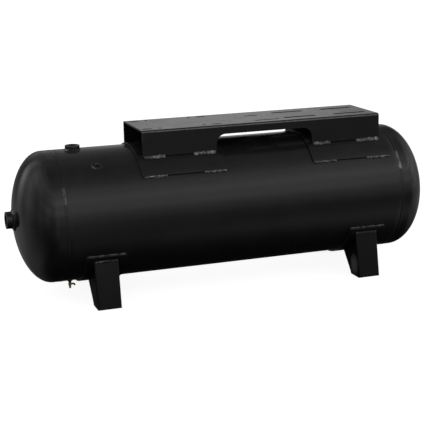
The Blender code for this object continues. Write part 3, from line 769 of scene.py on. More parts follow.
# painted shade: the right legs take a darker, less glossy copy of the leg paint, with a painted
# pool of light low on the front right leg's -X flange
M_LEG_RIGHT_SHADED = enamel(
    "enamel_leg_right_shaded", colour=(0.0062, 0.0062, 0.0065), peel=0.06, wear=0.5, waviness=1.5,
    rough=0.26, level=0.17, dull_foot=0.02,
    lit_patch=((494.0 * MM, -208.0 * MM, 46.0 * MM), (20.0 * MM, 34.0 * MM, 42.0 * MM)),
)
M_PORT = enamel("enamel_port", peel=0.12, wear=0.9, turning=True, rough=0.16)
M_WELD = enamel(
    "enamel_weld", colour=(0.0135, 0.0135, 0.0140), rough=0.20, peel=0.12, wear=0.12, dust=0.3,
    coat=0.7, level=0.6, bare=0.55,
)
M_LOW_WELD = enamel(
    "enamel_low_weld", colour=(0.0110, 0.0110, 0.0115), rough=0.20, peel=0.12, wear=0.10,
    dust=0.2, coat=0.4, level=0.5, bare=0.22,
)
M_PORT_WELD = enamel(
    "enamel_port_weld", colour=(0.0105, 0.0105, 0.0110), rough=0.20, peel=0.12, wear=0.05,
    dust=0.2, level=0.5,
)
M_SEAM = enamel(
    "enamel_seam", colour=(0.0095, 0.0095, 0.0100), rough=0.20, peel=0.10, wear=0.03, dust=0.2,
    level=0.45,
)
M_THREAD = bare_steel("steel_thread")
M_FACE = bare_steel("steel_face", tone=1.7, matt=0.38)
# the cock's brass is made black above a height near its top, and past an X at its nose tip
M_BRASS = brass("brass_cock", dark_past=(
    ("Z", AXIS_Z - 275.4 * MM, 1.6 * MM),
    ("X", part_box("drain_port")[1].x + 2.0 * MM, 1.2 * MM),
))
M_STEM = brass("brass_stem", tone=0.9)
M_RUBBER = rubber("rubber_ring")

# ================================================================ the vessel
VESSEL_STEPS = 256      # sides round the shell and the heads


def make_shell():
    """The rolled tube, with a hole for each of its three ports."""
    corners = [
        (RADIUS, SHELL_END), (RADIUS, -SHELL_END),
        (RADIUS - WALL, -SHELL_END), (RADIUS - WALL, SHELL_END),
    ]
    profile = densify(rounded(corners, [0.8 * MM] * 4, segments=2), 24 * MM)
    shell = turned("tank_shell", profile, VESSEL_STEPS, AT_AXIS @ TURN_X, sharp=40)
    ports = (("top", TOP_R, AT_TOP), ("gauge", GAUGE_R, AT_GAUGE), ("drain", DRAIN_R, AT_DRAIN))
    holes = [
        cylinder(
            "bore_" + key, radius + HOLE_GAP, 60 * MM,
            place @ Matrix.Translation((0, 0, RADIUS)), sides=64,
        )
        for key, radius, place in ports
    ]
    cut(shell, *holes)
    tidy(shell)
    smooth(shell, sharp=40)
    repaint(shell, M_SHELL)
    fit(shell, "shell")


def head_height(r):
    """Height of a head's outside over the seam, at radius r."""
    return SKIRT + HEAD_DEPTH * math.sqrt(max(0.0, 1 - (r / RADIUS) ** 2))


def make_heads():
    """The two dished ends, each with a hole in the middle."""
    hole = END_R + HOLE_GAP
    inner_radius = RADIUS - WALL
    outer = [
        (RADIUS * math.sin(t), SKIRT + HEAD_DEPTH * math.cos(t))
        for t in np.linspace(math.asin(hole / RADIUS), math.pi / 2, 56)
    ]
    inner = [
        (inner_radius * math.sin(t), SKIRT + (HEAD_DEPTH - WALL) * math.cos(t))
        for t in np.linspace(math.pi / 2, math.asin(hole / inner_radius), 40)
    ]
    low = SEAM_X - SHELL_END
    skirt = [(RADIUS, h) for h in np.linspace(SKIRT, low + 0.8 * MM, 6)[1:]]
    skirt += [(RADIUS - 0.3 * MM, low + 0.25 * MM), (RADIUS - 0.9 * MM, low)]
    skirt += [(inner_radius, low), (inner_radius, SKIRT * 0.5)]
    for side, place in ENDS:
        head = turned(
            "tank_head_" + side, outer + skirt + inner, VESSEL_STEPS, place,
            sharp=40, mat=M_HEAD,
        )
        fit(head, "head_" + side)


def make_girth_weld(side, sign, seed, close_at, close_over, close_mat):
    """Machine-laid cap with its root in the gap.  The ring closes in a proud spot
    near close_at, in degrees from the top towards +Y."""
    ring = np.linspace(0, 2 * math.pi, 720, endpoint=False)
    radius = RADIUS + 0.05 * MM
    wobble = 0.5 * MM * wander(seed, 60 * MM, ring * RADIUS, 2 * math.pi * RADIUS)
    path = np.stack(
        [sign * SEAM_X + wobble, radius * np.sin(ring), AXIS_Z + radius * np.cos(ring)], -1
    )
    up = np.stack([0 * ring, np.sin(ring), np.cos(ring)], -1)
    weld = butt_cap(
        "girth_bead_" + side, path, up, np.tile([1.0 * sign, 0, 0], (len(ring), 1)),
        half=SEAM_HALF - 1.2 * MM, height=0.50 * MM, mat=M_SEAM, ripple=6.0 * MM,
        depth=0.26 * MM, seed=seed, root=3.5 * MM, width_wander=0.10, lumpy=1.2,
        closed=True, crown_swell=1 + 1.7 * swell_at(close_at, close_over, 721),
    )

    def closing(centre):
        angle = math.degrees(math.atan2(centre.y, centre.z - AXIS_Z)) % 360
        return abs(angle_gap(angle, close_at)) < close_over * 0.9

    mark_faces(weld, close_mat, closing)
    fit(weld, "girth_weld_" + side)


def make_long_seam():
    lo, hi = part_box("long_seam_weld")
    y, z = (lo.y + hi.y) / 2, (lo.z + hi.z) / 2 - AXIS_Z
    length = math.hypot(y, z)
    out = (y / length, z / length)
    weld = butt_cap(
        "long_seam_bead",
        *straight(
            lo.x, hi.x, (out[0] * RADIUS, out[1] * RADIUS), out, (out[1], -out[0]), steps=120
        ),
        half=4.7 * MM, height=1.5 * MM, mat=M_SEAM, ripple=3.6 * MM, depth=0.34 * MM,
        seed=91, root=1.0 * MM,
    )
    fit(weld, "long_seam_weld")


make_shell()
make_heads()
make_girth_weld("left", -1, seed=31, close_at=299.0, close_over=8.5, close_mat=M_LOW_WELD)
make_girth_weld("right", 1, seed=57, close_at=305.0, close_over=10.0, close_mat=M_WELD)
make_long_seam()


# ================================================================= saddles
def make_saddle(kind, side, middle, wrap):
    """A curved plate on the shell, wrap each way from the angle middle."""
    node = "%s_saddle_%s" % (kind, side)
    lo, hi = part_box(node)
    outline = arc(SADDLE_OUT, middle - wrap, middle + wrap, 72)
    outline += arc(SADDLE_IN, middle + wrap, middle - wrap, 72)
    place = AT_AXIS @ Matrix.Translation(((lo.x + hi.x) / 2, 0, 0)) @ ALONG_X
    obj = prism("saddle_%s_%s" % (kind, side), outline, (hi.x - lo.x) / 2, place)
    ease_edges(obj, 0.9 * MM, angle=40)
    obj.data.materials.append(M_SADDLE)
    fit(obj, node)


for kind, middle, wrap in (("deck", 0.0, DECK_WRAP), ("foot", math.pi, FOOT_WRAP)):
    for side in ("left", "right"):
        make_saddle(kind, side, middle, wrap)

# ==================================================================== deck
# the notch in both flanges keeps as far inside the saddles as they overhang the deck
OVERHANG = DECK_LO.x - LEFT_SADDLE_LO.x
NOTCH_LEFT = LEFT_SADDLE_HI.x - OVERHANG
NOTCH_RIGHT = RIGHT_SADDLE_LO.x + OVERHANG
NOTCH_TOP = 291.0 * MM
NOTCH_RADIUS = 38.0 * MM

# deck holes in mm: four groups of a round hole and a slot, round the group's middle
GROUP_X, GROUP_Y = -190, 98
ROUND_REACH, SLOT_REACH = 89, 140
GROUP_SLOT_LENGTH, GROUP_HOLE_RADIUS = 40, 7.0
# the other slots: x, y, length, radius
OTHER_SLOTS = [
    (313, -72, 140, 9.5), (313, 60, 140, 9.5), (531, -72, 140, 9.5), (531, 60, 140, 9.5),
    (144, 36, 60, 6.35), (166, -87, 104, 6.35),
]


def deck_section():
    """The folded plate's outline of (y, z): a top with a flange down each side."""
    fold = DECK_HALF - BEND_RADIUS
    bend_z = DECK_TOP - BEND_RADIUS
    quarter = math.pi / 2
    inside = BEND_RADIUS - PLATE
    return [
        (-DECK_HALF, DECK_FOOT),
        *arc(BEND_RADIUS, -quarter, 0, 14, (-fold, bend_z)),
        *arc(BEND_RADIUS, 0, quarter, 14, (fold, bend_z)),
        (DECK_HALF, DECK_FOOT),
        (DECK_HALF - PLATE, DECK_FOOT),
        *arc(inside, quarter, 0, 8, (fold, bend_z)),
        *arc(inside, 0, -quarter, 8, (-fold, bend_z)),
        (-DECK_HALF + PLATE, DECK_FOOT),
    ]


def circle_arc(x, y, radius, angles):
    return [(x + radius * math.cos(a), y + radius * math.sin(a)) for a in angles]


def slot_outline(x, y, length, radius):
    """A slot along X, or a round hole where length is 0."""
    steps = 12
    reach = max(length / 2 - radius, 0.0)
    if reach == 0.0:
        return circle_arc(x, y, radius, np.linspace(0, 2 * math.pi, 2 * steps, endpoint=False))
    quarter = math.pi / 2
    right = circle_arc(x + reach, y, radius, np.linspace(-quarter, quarter, steps + 1))
    left = circle_arc(x - reach, y, radius, np.linspace(quarter, 3 * quarter, steps + 1))
    return right + left


def make_deck():
    deck = prism(
        "deck_plate", deck_section(), (DECK_HI.x - DECK_LO.x) / 2,
        AT_AXIS @ Matrix.Translation(((DECK_HI.x + DECK_LO.x) / 2, 0, 0)) @ ALONG_X,
    )
    below = DECK_FOOT - 20 * MM
    corner_z = NOTCH_TOP - NOTCH_RADIUS
    quarter = math.pi / 2
    notch = [(NOTCH_LEFT, below), (NOTCH_RIGHT, below)]
    for x, start in ((NOTCH_RIGHT - NOTCH_RADIUS, 0), (NOTCH_LEFT + NOTCH_RADIUS, quarter)):
        notch += circle_arc(x, corner_z, NOTCH_RADIUS, np.linspace(start, start + quarter, 15))
    stand_up = AT_AXIS @ Matrix.Rotation(math.pi / 2, 4, "X")
    cutters = [prism("notch", notch, DECK_HALF + 10 * MM, stand_up)]
    holes = []
    for sx in (-1, 1):
        for y in (-GROUP_Y, GROUP_Y):
            holes.append((GROUP_X + sx * ROUND_REACH, y, 0, GROUP_HOLE_RADIUS))
            holes.append(
                (GROUP_X + sx * SLOT_REACH, y, GROUP_SLOT_LENGTH, GROUP_HOLE_RADIUS)
            )
    at_top = AT_AXIS @ Matrix.Translation((0, 0, DECK_TOP))
    for i, hole in enumerate(holes + OTHER_SLOTS):
        outline = slot_outline(*(value * MM for value in hole))
        cutters.append(prism("slot_%02d" % i, outline, 15 * MM, at_top))
    cut(deck, *cutters)
    tidy(deck)
    ease_edges(deck, 0.8 * MM, angle=40)
    repaint(deck, M_DECK)
    fit(deck, "deck")


make_deck()

# ==================================================================== legs
# places in a leg's side view: distance out from the vessel's mid-plane, height
LEG_THICK = 4.8 * MM
LEG_FACE_TOP = (218.5 * MM, -141.7 * MM)
LEG_FACE_FOOT = 256.0 * MM          # distance out at the floor
LEG_TOP_WIDTH, LEG_FOOT_WIDTH = 96.4 * MM, 91.5 * MM
FLANGE_EDGE_TOP = (104.2 * MM, -228.0 * MM)
FLANGE_EDGE_FOOT = (174.0 * MM, -310.5 * MM)
LEG_STOCK_TOP = -110 * MM           # height of the blank, before the saddle trims it
LEG_X = (FOOT_LO.x + FOOT_HI.x) / 2
FLOOR_Z = -AXIS_Z
LEG_SLOPE = (LEG_FACE_FOOT - LEG_FACE_TOP[0]) / (FLOOR_Z - LEG_FACE_TOP[1])
# name, side along X, side along Y
LEGS = (
    ("front_left", -1, -1), ("front_right", 1, -1), ("rear_left", -1, 1), ("rear_right", 1, 1),
)


def face_out(z):
    """How far out the leg's face stands at height z."""
    return LEG_FACE_TOP[0] + LEG_SLOPE * (z - LEG_FACE_TOP[1])


def leg_half_width(z):
    share = (z - LEG_FACE_TOP[1]) / (FLOOR_Z - LEG_FACE_TOP[1])
    return (LEG_TOP_WIDTH + (LEG_FOOT_WIDTH - LEG_TOP_WIDTH) * share) / 2


def leg_block(name, profile, shrink, radius):
    """A solid with the leg's tapering width, its side edges and foot bend rounded.
    The profile's first two points are the face's top and foot."""
    work = bmesh.new()
    left, right = (
        [work.verts.new((s * (leg_half_width(z) - shrink), -out, z)) for out, z in profile]
        for s in (-1, 1)
    )
    work.faces.new(left)
    work.faces.new(right[::-1])
    for i in range(len(profile)):
        j = (i + 1) % len(profile)
        work.faces.new((left[j], left[i], right[i], right[j]))
    bmesh.ops.recalc_face_normals(work, faces=work.faces)
    ends = [{left[0], left[1]}, {right[0], right[1]}, {left[1], right[1]}]
    folds = [e for e in work.edges if set(e.verts) in ends]
    bmesh.ops.bevel(work, geom=folds, offset=radius, segments=7, profile=0.5, affect="EDGES")
    return object_from(work, name)


def leg_outside():
    edge = Vector(FLANGE_EDGE_FOOT) - Vector(FLANGE_EDGE_TOP)
    above = Vector(FLANGE_EDGE_TOP) - edge * 0.45
    toe_x, toe_z = 9 * MM, 10 * MM
    toe = [
        (
            FLANGE_EDGE_FOOT[0] + toe_x - toe_x * math.sin(a),
            FLOOR_Z + toe_z - toe_z * math.cos(a),
        )
        for a in np.linspace(0, math.pi / 2, 6)
    ]
    face = [(face_out(z), z) for z in (LEG_STOCK_TOP, FLOOR_Z)]
    return face + toe + [(above.x, above.y)]


def leg_inside():
    back = LEG_THICK * math.sqrt(1 + LEG_SLOPE * LEG_SLOPE)
    high, low = LEG_STOCK_TOP + 40 * MM, FLOOR_Z + LEG_THICK
    return [
        (face_out(high) - back, high), (face_out(low) - back, low),
        (40 * MM, low), (40 * MM, high),
    ]


def make_legs():
    """One front leg, hollowed and trimmed to the saddle, copied to four places."""
    leg = leg_block("leg", leg_outside(), 0.0, 7.5 * MM)
    cut(
        leg,
        leg_block("leg_hollow", leg_inside(), LEG_THICK, 2.7 * MM),
        cylinder("leg_saddle", SADDLE_OUT + 0.15 * MM, 400 * MM, TURN_X, sides=320),
        cylinder(
            "leg_bolt", 7.0 * MM, 30 * MM,
            Matrix.Translation((0, -(LEG_FACE_FOOT - 30 * MM), FLOOR_Z)), sides=40,
        ),
    )
    tidy(leg)
    ease_edges(leg, 0.7 * MM, angle=44)
    repaint(leg, M_LEG)
    for key, side_x, side_y in LEGS:
        obj = add_object("leg_fold_" + key, leg.data.copy())
        turn = Matrix.Rotation(0 if side_y < 0 else math.pi, 4, "Z")
        obj.data.transform(AT_AXIS @ Matrix.Translation((side_x * LEG_X, 0, 0)) @ turn)
        # painted shade: the right legs take the darker copy of the leg paint
        if side_x > 0:
            obj.data.materials[0] = M_LEG_RIGHT_SHADED
        weight_normals(obj)
        fit(obj, "leg_" + key)
    bpy.data.objects.remove(leg)


make_legs()

# =============================================================== plate welds
DECK_WELD = dict(
    legs=(8.6 * MM, 7.2 * MM), mat=M_WELD, ripple=4.4 * MM, depth=0.8 * MM, crown=0.22,
    root=3.0 * MM, width_wander=0.15, lumpy=1.5,
)
SADDLE_WELD = dict(
    legs=(6.6 * MM, 7.4 * MM), mat=M_WELD, ripple=4.4 * MM, depth=0.75 * MM, crown=0.24,
    root=1.0 * MM, width_wander=0.15, lumpy=1.5,
)
FOOT_SADDLE_WELD = dict(
    legs=(5.2 * MM, 5.6 * MM), mat=M_LOW_WELD, ripple=4.0 * MM, depth=0.6 * MM, crown=0.24,
    root=1.0 * MM, width_wander=0.13, lumpy=1.3, runs=4,
)
LEG_WELD = dict(
    legs=(6.0 * MM, 4.6 * MM), mat=M_LOW_WELD, ripple=3.8 * MM, depth=0.55 * MM, crown=0.32,
    root=0.8 * MM, width_wander=0.12, lumpy=1.3,
)
plate_seeds = count(200, 5)


def plate_weld(node, at, up, side, style, longer=0.0):
    """A fillet along X over the node's length, through the (y, z) point at."""
    lo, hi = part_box(node)
    weld = fillet(
        "bead_" + node.replace("weld_", ""),
        *straight(lo.x - longer, hi.x + longer, at, up, side),
        seed=next(plate_seeds), **style,
    )
    fit(weld, node)


def make_side_welds(side, where):
    """Welds along one side: deck flange to saddles, and saddle edges to shell."""
    flange_z = math.sqrt(SADDLE_OUT ** 2 - DECK_HALF * DECK_HALF)
    tangent = math.atan2(DECK_HALF, flange_z) + 0.012
    along_saddle = (side * math.cos(tangent), -math.sin(tangent))
    for key in "abcd":
        plate_weld(
            "deck_weld_%s_%s" % (where, key), (side * DECK_HALF, flange_z), (0, 1),
            along_saddle, DECK_WELD,
        )
    out = (side * math.sin(DECK_WRAP), math.cos(DECK_WRAP))
    onward = (side * math.cos(DECK_WRAP), -math.sin(DECK_WRAP))
    for key in "abcd":
        plate_weld(
            "saddle_weld_%s_%s" % (where, key), (out[0] * RADIUS, out[1] * RADIUS), out,
            onward, SADDLE_WELD,
        )
    edge = math.pi - FOOT_WRAP
    out = (side * math.sin(edge), math.cos(edge))
    onward = (-side * math.cos(edge), math.sin(edge))
    for key in ("left", "right"):
        plate_weld(
            "foot_saddle_weld_%s_%s" % (where, key), (out[0] * RADIUS, out[1] * RADIUS), out,
            onward, FOOT_SADDLE_WELD,
        )


def leg_crest():
    """Where the leg's face meets the saddle, found by halving."""
    low, high = LEG_FACE_TOP[1] - 15 * MM, LEG_FACE_TOP[1] + 15 * MM
    for _ in range(50):
        middle = (low + high) / 2
        if math.hypot(face_out(middle), middle) > SADDLE_OUT:
            low = middle
        else:
            high = middle
    z = (low + high) / 2
    return face_out(z), z


def make_leg_welds():
    """A weld across the top of each leg's face."""
    out, z = leg_crest()
    length = math.hypot(out, z)
    fall = math.hypot(LEG_SLOPE, 1)
    for key, _, side in LEGS:
        up_saddle = (side * -z / length, out / length)
        down_face = (side * -LEG_SLOPE / fall, -1 / fall)
        plate_weld(
            "leg_weld_" + key, (side * out, z), up_saddle, down_face, LEG_WELD,
            longer=3 * MM,
        )


make_side_welds(-1, "front")
make_side_welds(1, "rear")
make_leg_welds()


# ==================================================================== ports
COARSE_PITCH = 2.209 * MM
SMALL_INNER = RADIUS - 8 * MM       # inner end of the gauge and drain couplings


def threaded_port(
    name, node, outside, bore, face, inner, pitch, place, steps, bare=True, faced=False,
):
    """A coupling with a tapered internal thread cut as a real helix, from the
    height inner to face.  bare leaves the thread unpainted, faced the face too."""
    ease, lead = min(2.2 * MM, 0.16 * (outside - bore)), 1.9 * MM
    depth = 0.62 * pitch
    outer_side = rounded(
        [(bore + lead, face), (outside, face), (outside, inner), (bore, inner)],
        [0, ease, 0.6 * MM, 0],
        segments=3,
    )
    top = face - lead
    heights = np.linspace(inner + 0.2 * MM, top, int((top - inner) / pitch * 10))
    first = len(outer_side)

    def thread(theta, r, h):
        out = r.copy()
        h = h[:, first:]
        phase = h / pitch - theta / (2 * math.pi)
        wave = phase - np.floor(phase)
        tooth = np.clip(1.15 * (1 - np.abs(2 * wave - 1)) - 0.07, 0, 1)
        taper = (h - inner) / 64.0
        fade = np.clip((top - h) / (0.8 * pitch), 0, 1) * np.clip(
            (h - inner) / (0.8 * pitch), 0, 1
        )
        out[:, first:] = bore + depth * tooth * fade + taper
        out[:, -1] = bore + 0.3 * MM
        return out

    profile = outer_side + [(bore, h) for h in heights]
    obj = turned(name, profile, steps, place, sharp=38, mat=M_PORT, radius=thread)
    obj.data.materials.append(M_THREAD)
    obj.data.materials.append(M_FACE)
    back = np.array(place.inverted(), float)
    for poly in obj.data.polygons if bare else ():
        x, y, z = back[:3, :3] @ np.array(poly.center) + back[:3, 3]
        r = math.hypot(x, y)
        if r < bore + lead * 0.75 and z < face - 0.2 * MM:
            poly.material_index = 1
        elif faced and z > face - 1.4 * MM and r < outside + 0.1 * MM:
            poly.material_index = 2
    fit(obj, node)


def make_ports():
    for side, place in ENDS:
        threaded_port(
            "coupling_end_" + side, "end_port_" + side, END_R, bore=22.2 * MM, face=END_FACE,
            inner=END_INNER, pitch=COARSE_PITCH, place=place, steps=128, faced=True,
        )
    lo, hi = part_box("top_port")
    threaded_port(
        "coupling_top", "top_port", TOP_R, bore=19.4 * MM, face=hi.z - AXIS_Z,
        inner=lo.z - AXIS_Z, pitch=COARSE_PITCH, place=AT_TOP, steps=112,
    )
    threaded_port(
        "coupling_gauge", "gauge_port", GAUGE_R, bore=9.3 * MM, face=RADIUS + 6.0 * MM,
        inner=SMALL_INNER, pitch=1.814 * MM, place=AT_GAUGE, steps=88, bare=False,
    )
    threaded_port(
        "coupling_drain", "drain_port", DRAIN_R, bore=6.0 * MM,
        face=AXIS_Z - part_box("drain_port")[0].z, inner=SMALL_INNER, pitch=1.411 * MM,
        place=AT_DRAIN, steps=72, bare=False,
    )


def ring_weld(name, node, radius, legs, place, heavy=None, on_head=False, **style):
    """A fillet round a port, following the head or the shell that it sits on.
    heavy=(angle, share, spread) lets it grow to 1 + share near angle."""
    if heavy is not None:
        angle, share, spread = heavy
        style["swell"] = 1 + share * swell_at(angle, spread, 121)
    phi = np.linspace(0, 2 * math.pi, 160, endpoint=False)
    cosine, sine = np.cos(phi), np.sin(phi)
    toe = radius + legs[1]
    if on_head:
        z = np.full_like(phi, head_height(radius))
        drop = np.full_like(phi, (head_height(toe) - head_height(radius)) / legs[1])
    else:
        z = np.sqrt(RADIUS ** 2 - (radius * sine) ** 2)
        drop = (np.sqrt(RADIUS ** 2 - (toe * sine) ** 2) - z) / legs[1]
    m = np.array(place, float)
    turn = m[:3, :3].T
    path = moved(np.stack([radius * cosine, radius * sine, z], -1), place)
    up = np.tile([0.0, 0, 1], (len(phi), 1)) @ turn
    side = np.stack([cosine, sine, drop], -1) @ turn
    weld = fillet(
        name, path, up, side, legs, M_PORT_WELD, root=1.0 * MM, closed=True, **style
    )
    if heavy is not None:

        def near_start(centre):
            x, y, _ = turn @ (np.array(centre) - m[:3, 3])
            return abs(angle_gap(math.degrees(math.atan2(y, x)) % 360, angle)) < spread * 0.7

        # the start of the run stands proud and shows burnished metal
        mark_faces(weld, M_WELD, near_start)
    fit(weld, node)


def make_ring_welds():
    # the end welds start towards the front and the top
    start = np.array([0.0, -0.55, 0.83])
    for (side, place), seed in zip(ENDS, (401, 421)):
        x, y = np.array(place, float)[:3, :2].T @ start
        ring_weld(
            "bead_end_" + side, "end_port_weld_" + side, END_R, (8.0 * MM, 10.5 * MM), place,
            heavy=(math.degrees(math.atan2(y, x)), 0.28, 20.0), on_head=True,
            ripple=4.2 * MM, depth=0.65 * MM, crown=0.22, seed=seed,
        )
    ring_weld(
        "bead_top", "top_port_weld", TOP_R, (3.0 * MM, 3.6 * MM), AT_TOP,
        heavy=(205.0, 0.75, 34.0), ripple=3.8 * MM, depth=0.45 * MM, crown=0.2, seed=441,
    )
    ring_weld(
        "bead_gauge", "gauge_port_weld", GAUGE_R, (2.4 * MM, 3.0 * MM), AT_GAUGE,
        heavy=(218.0, 0.6, 42.0), ripple=3.0 * MM, depth=0.35 * MM, crown=0.25, seed=461,
    )
    ring_weld(
        "bead_drain", "drain_port_weld", DRAIN_R, (4.6 * MM, 4.8 * MM), AT_DRAIN,
        ripple=3.0 * MM, depth=0.4 * MM, crown=0.25, seed=481,
    )


make_ports()
make_ring_welds()

# =============================================================== drain cock
# profiles of (radius, height from the vessel's axis) in mm
BODY_PROFILE = (
    (2.3, -252.0), (5.0, -252.0), (5.5, -253.4), (5.5, -266.6), (6.2, -266.6),
    (7.0, -267.2), (7.0, -270.0), (6.2, -270.6), (5.0, -271.3), (4.8, -273.4),
    (6.0, -274.5), (6.6, -275.2), (6.6, -284.2), (6.0, -285.1), (5.2, -285.7),
    (5.2, -287.0), (4.9, -287.4), (3.25, -287.4), (3.25, -274.9), (2.3, -273.9),
)
STEM_PROFILE = (
    (0.5, -272.4), (1.2, -272.6), (2.9, -275.3), (3.1, -275.9), (3.1, -281.6),
    (2.2, -281.6), (2.2, -283.4), (3.1, -283.4), (3.1, -287.8), (2.4, -288.3),
    (2.4, -296.5), (2.1, -297.2), (0.5, -297.6),
)
HUB_PROFILE = (
    (2.55, -288.9), (3.9, -288.9), (4.2, -289.2), (4.4, -290.2), (4.4, -294.4),
    (4.1, -295.3), (3.7, -295.6), (2.55, -295.6),
)
HEX_TOP, HEX_LOW, HEX_FLAT = -266.6 * MM, -270.6 * MM, 6.05 * MM
# the nose, in mm: it leaves towards +X and bends down
NOSE_Z, NOSE_BEND_X, NOSE_BEND_RADIUS = -279.5, 12, 7
NOSE_TURN = math.radians(72)
NOSE_TIP = 2.2          # straight length after the bend


def profile_mm(points, longest):
    return densify([(r * MM, h * MM) for r, h in points], longest)


def hex_band(theta, r, h):
    """Flattens the collar into a hexagon."""
    turn = (theta + math.pi / 6) % (math.pi / 3) - math.pi / 6
    flat = HEX_FLAT / np.cos(turn)
    band = (h < HEX_TOP + 0.05 * MM) & (h > HEX_LOW - 0.05 * MM) & (r > 5.6 * MM)
    return np.where(band, np.minimum(r, np.broadcast_to(flat, r.shape)), r)


def stem_thread(theta, r, h):
    pitch, depth = 1.27 * MM, 0.35 * MM
    on = (h < -276.2 * MM) & (h > -281.3 * MM) & (r > 3.0 * MM)
    phase = h / pitch - theta / (2 * math.pi)
    wave = phase - np.floor(phase)
    return np.where(on, r - depth * (1 - np.abs(2 * wave - 1)), r)


def sweep(name, path, radii, sides):
    """A round bar along a path in the XZ plane."""
    tangent = np.gradient(path, axis=0)
    tangent /= np.linalg.norm(tangent, axis=1)[:, None]
    across = np.tile([0.0, 1.0, 0.0], (len(path), 1))
    other = np.cross(tangent, across)
    a = np.linspace(0, 2 * math.pi, sides, endpoint=False)
    points = (
        path[:, None]
        + across[:, None] * (radii[:, None] * np.cos(a))[..., None]
        + other[:, None] * (radii[:, None] * np.sin(a))[..., None]
    )
    return grid_mesh(name, points)


def nose_path(start, extra):
    """The nose's middle line from X start, drawn out by extra past the tip."""
    steps = 16
    points = [(x, 0, NOSE_Z) for x in (start, 8.0, NOSE_BEND_X)]
    for i in range(1, steps + 1):
        a = NOSE_TURN * i / steps
        x = NOSE_BEND_X + NOSE_BEND_RADIUS * math.sin(a)
        points.append((x, 0, NOSE_Z - NOSE_BEND_RADIUS * (1 - math.cos(a))))
    last_x, _, last_z = points[-1]
    for share in (0.4, 0.8, 1.0):
        reach = (NOSE_TIP + extra) * share
        x = last_x + reach * math.cos(NOSE_TURN)
        points.append((x, 0, last_z - reach * math.sin(NOSE_TURN)))
    return moved(np.array(points) * MM, AT_COCK)


def make_cock_body():
    cock = turned(
        "cock_body", profile_mm(BODY_PROFILE, 0.9 * MM), 96, AT_COCK, sharp=30,
        radius=hex_band,
    )
    line = nose_path(4.0, 0)
    radii = np.full(len(line), 3.55 * MM)
    radii[0:2] = 4.2 * MM, 3.8 * MM
    radii[-1] = 3.3 * MM
    radii[-3:-1] = 3.7 * MM
    cut(cock, sweep("nose", line, radii, sides=32), operation="UNION")
    line = nose_path(1.0, 3.0)
    cut(cock, sweep("nose_bore", line, np.full(len(line), 2.3 * MM), sides=28))
    tidy(cock)
    ease_edges(cock, 0.18 * MM, angle=38)
    repaint(cock, M_BRASS)
    fit(cock, "drain_cock_body")


def make_stem():
    stem = turned(
        "cock_stem", profile_mm(STEM_PROFILE, 0.35 * MM), 64, AT_COCK, sharp=35, mat=M_STEM,
        radius=stem_thread,
    )
    fit(stem, "drain_cock_stem", body="drain_handle")


def make_wing():
    """The wing handle: a bored hub with a flat pad out to each side along Y."""
    hub = turned("cock_wing", profile_mm(HUB_PROFILE, 0.8 * MM), 72, AT_COCK, sharp=35)
    reach, middle_z = 12.0 * MM, -292.4 * MM
    outline = []
    for i in range(56):
        a = 2 * math.pi * i / 56
        c, s = math.cos(a), math.sin(a)
        # a little taller towards the tips
        outline.append((reach * c, middle_z + (1.9 + 1.05 * abs(c) ** 1.6) * MM * s))
    pad = prism("wing_pads", outline, 1.35 * MM, AT_COCK @ ALONG_X)
    ease_edges(pad, 0.55 * MM, angle=40, segments=3)
    pad.modifiers.clear()
    cut(hub, pad, operation="UNION")
    at_bore = AT_COCK @ Matrix.Translation((0, 0, -292 * MM))
    cut(hub, cylinder("wing_bore", HUB_PROFILE[0][0] * MM, 30 * MM, at_bore, sides=48))
    tidy(hub)
    smooth(hub, sharp=38)
    repaint(hub, M_BRASS)
    fit(hub, "drain_cock_wing", body="drain_handle")


def make_seal_ring():
    lo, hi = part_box("drain_cock_seal_ring")
    middle = (lo.z + hi.z) / 2 - AXIS_Z
    half = (hi.z - lo.z) / 2
    section = [
        (2.69 * MM + half * math.cos(a), middle + half * math.sin(a))
        for a in np.linspace(0, 2 * math.pi, 16, endpoint=False)
    ]
    seal = turned("cock_seal_ring", section, 56, AT_COCK, mat=M_RUBBER)
    fit(seal, "drain_cock_seal_ring", body="drain_seal")


make_cock_body()
make_stem()
make_wing()
make_seal_ring()


# ===================================================== floor, light and camera
def make_floor():
    """A pale, faintly glowing floor that casts no light on the vessel."""
    half = 60.0
    corners = [(-half, -half, 0), (half, -half, 0), (half, half, 0), (-half, half, 0)]
    mesh = bpy.data.meshes.new("floor")
    mesh.from_pydata(corners, [], [(0, 1, 2, 3)])
    floor = add_object("floor", mesh)
    floor.location.z = -0.0004
    floor.visible_glossy = False
    floor.visible_diffuse = False
    mat = bpy.data.materials.new("floor")
    mat.use_nodes = True
    nodes = mat.node_tree.nodes
    nodes.remove(nodes["Principled BSDF"])
    g = Graph(mat.node_tree)
    diffuse = g.node("BsdfDiffuse", {"Color": (0.55, 0.55, 0.55, 1)})
    glow = g.node("Emission", {"Color": (1, 1, 1, 1), "Strength": 0.90})
    both = g.node("AddShader", {0: diffuse.outputs[0], 1: glow.outputs[0]})
    g.fill(nodes["Material Output"], {"Surface": both.outputs[0]})
    mesh.materials.append(mat)


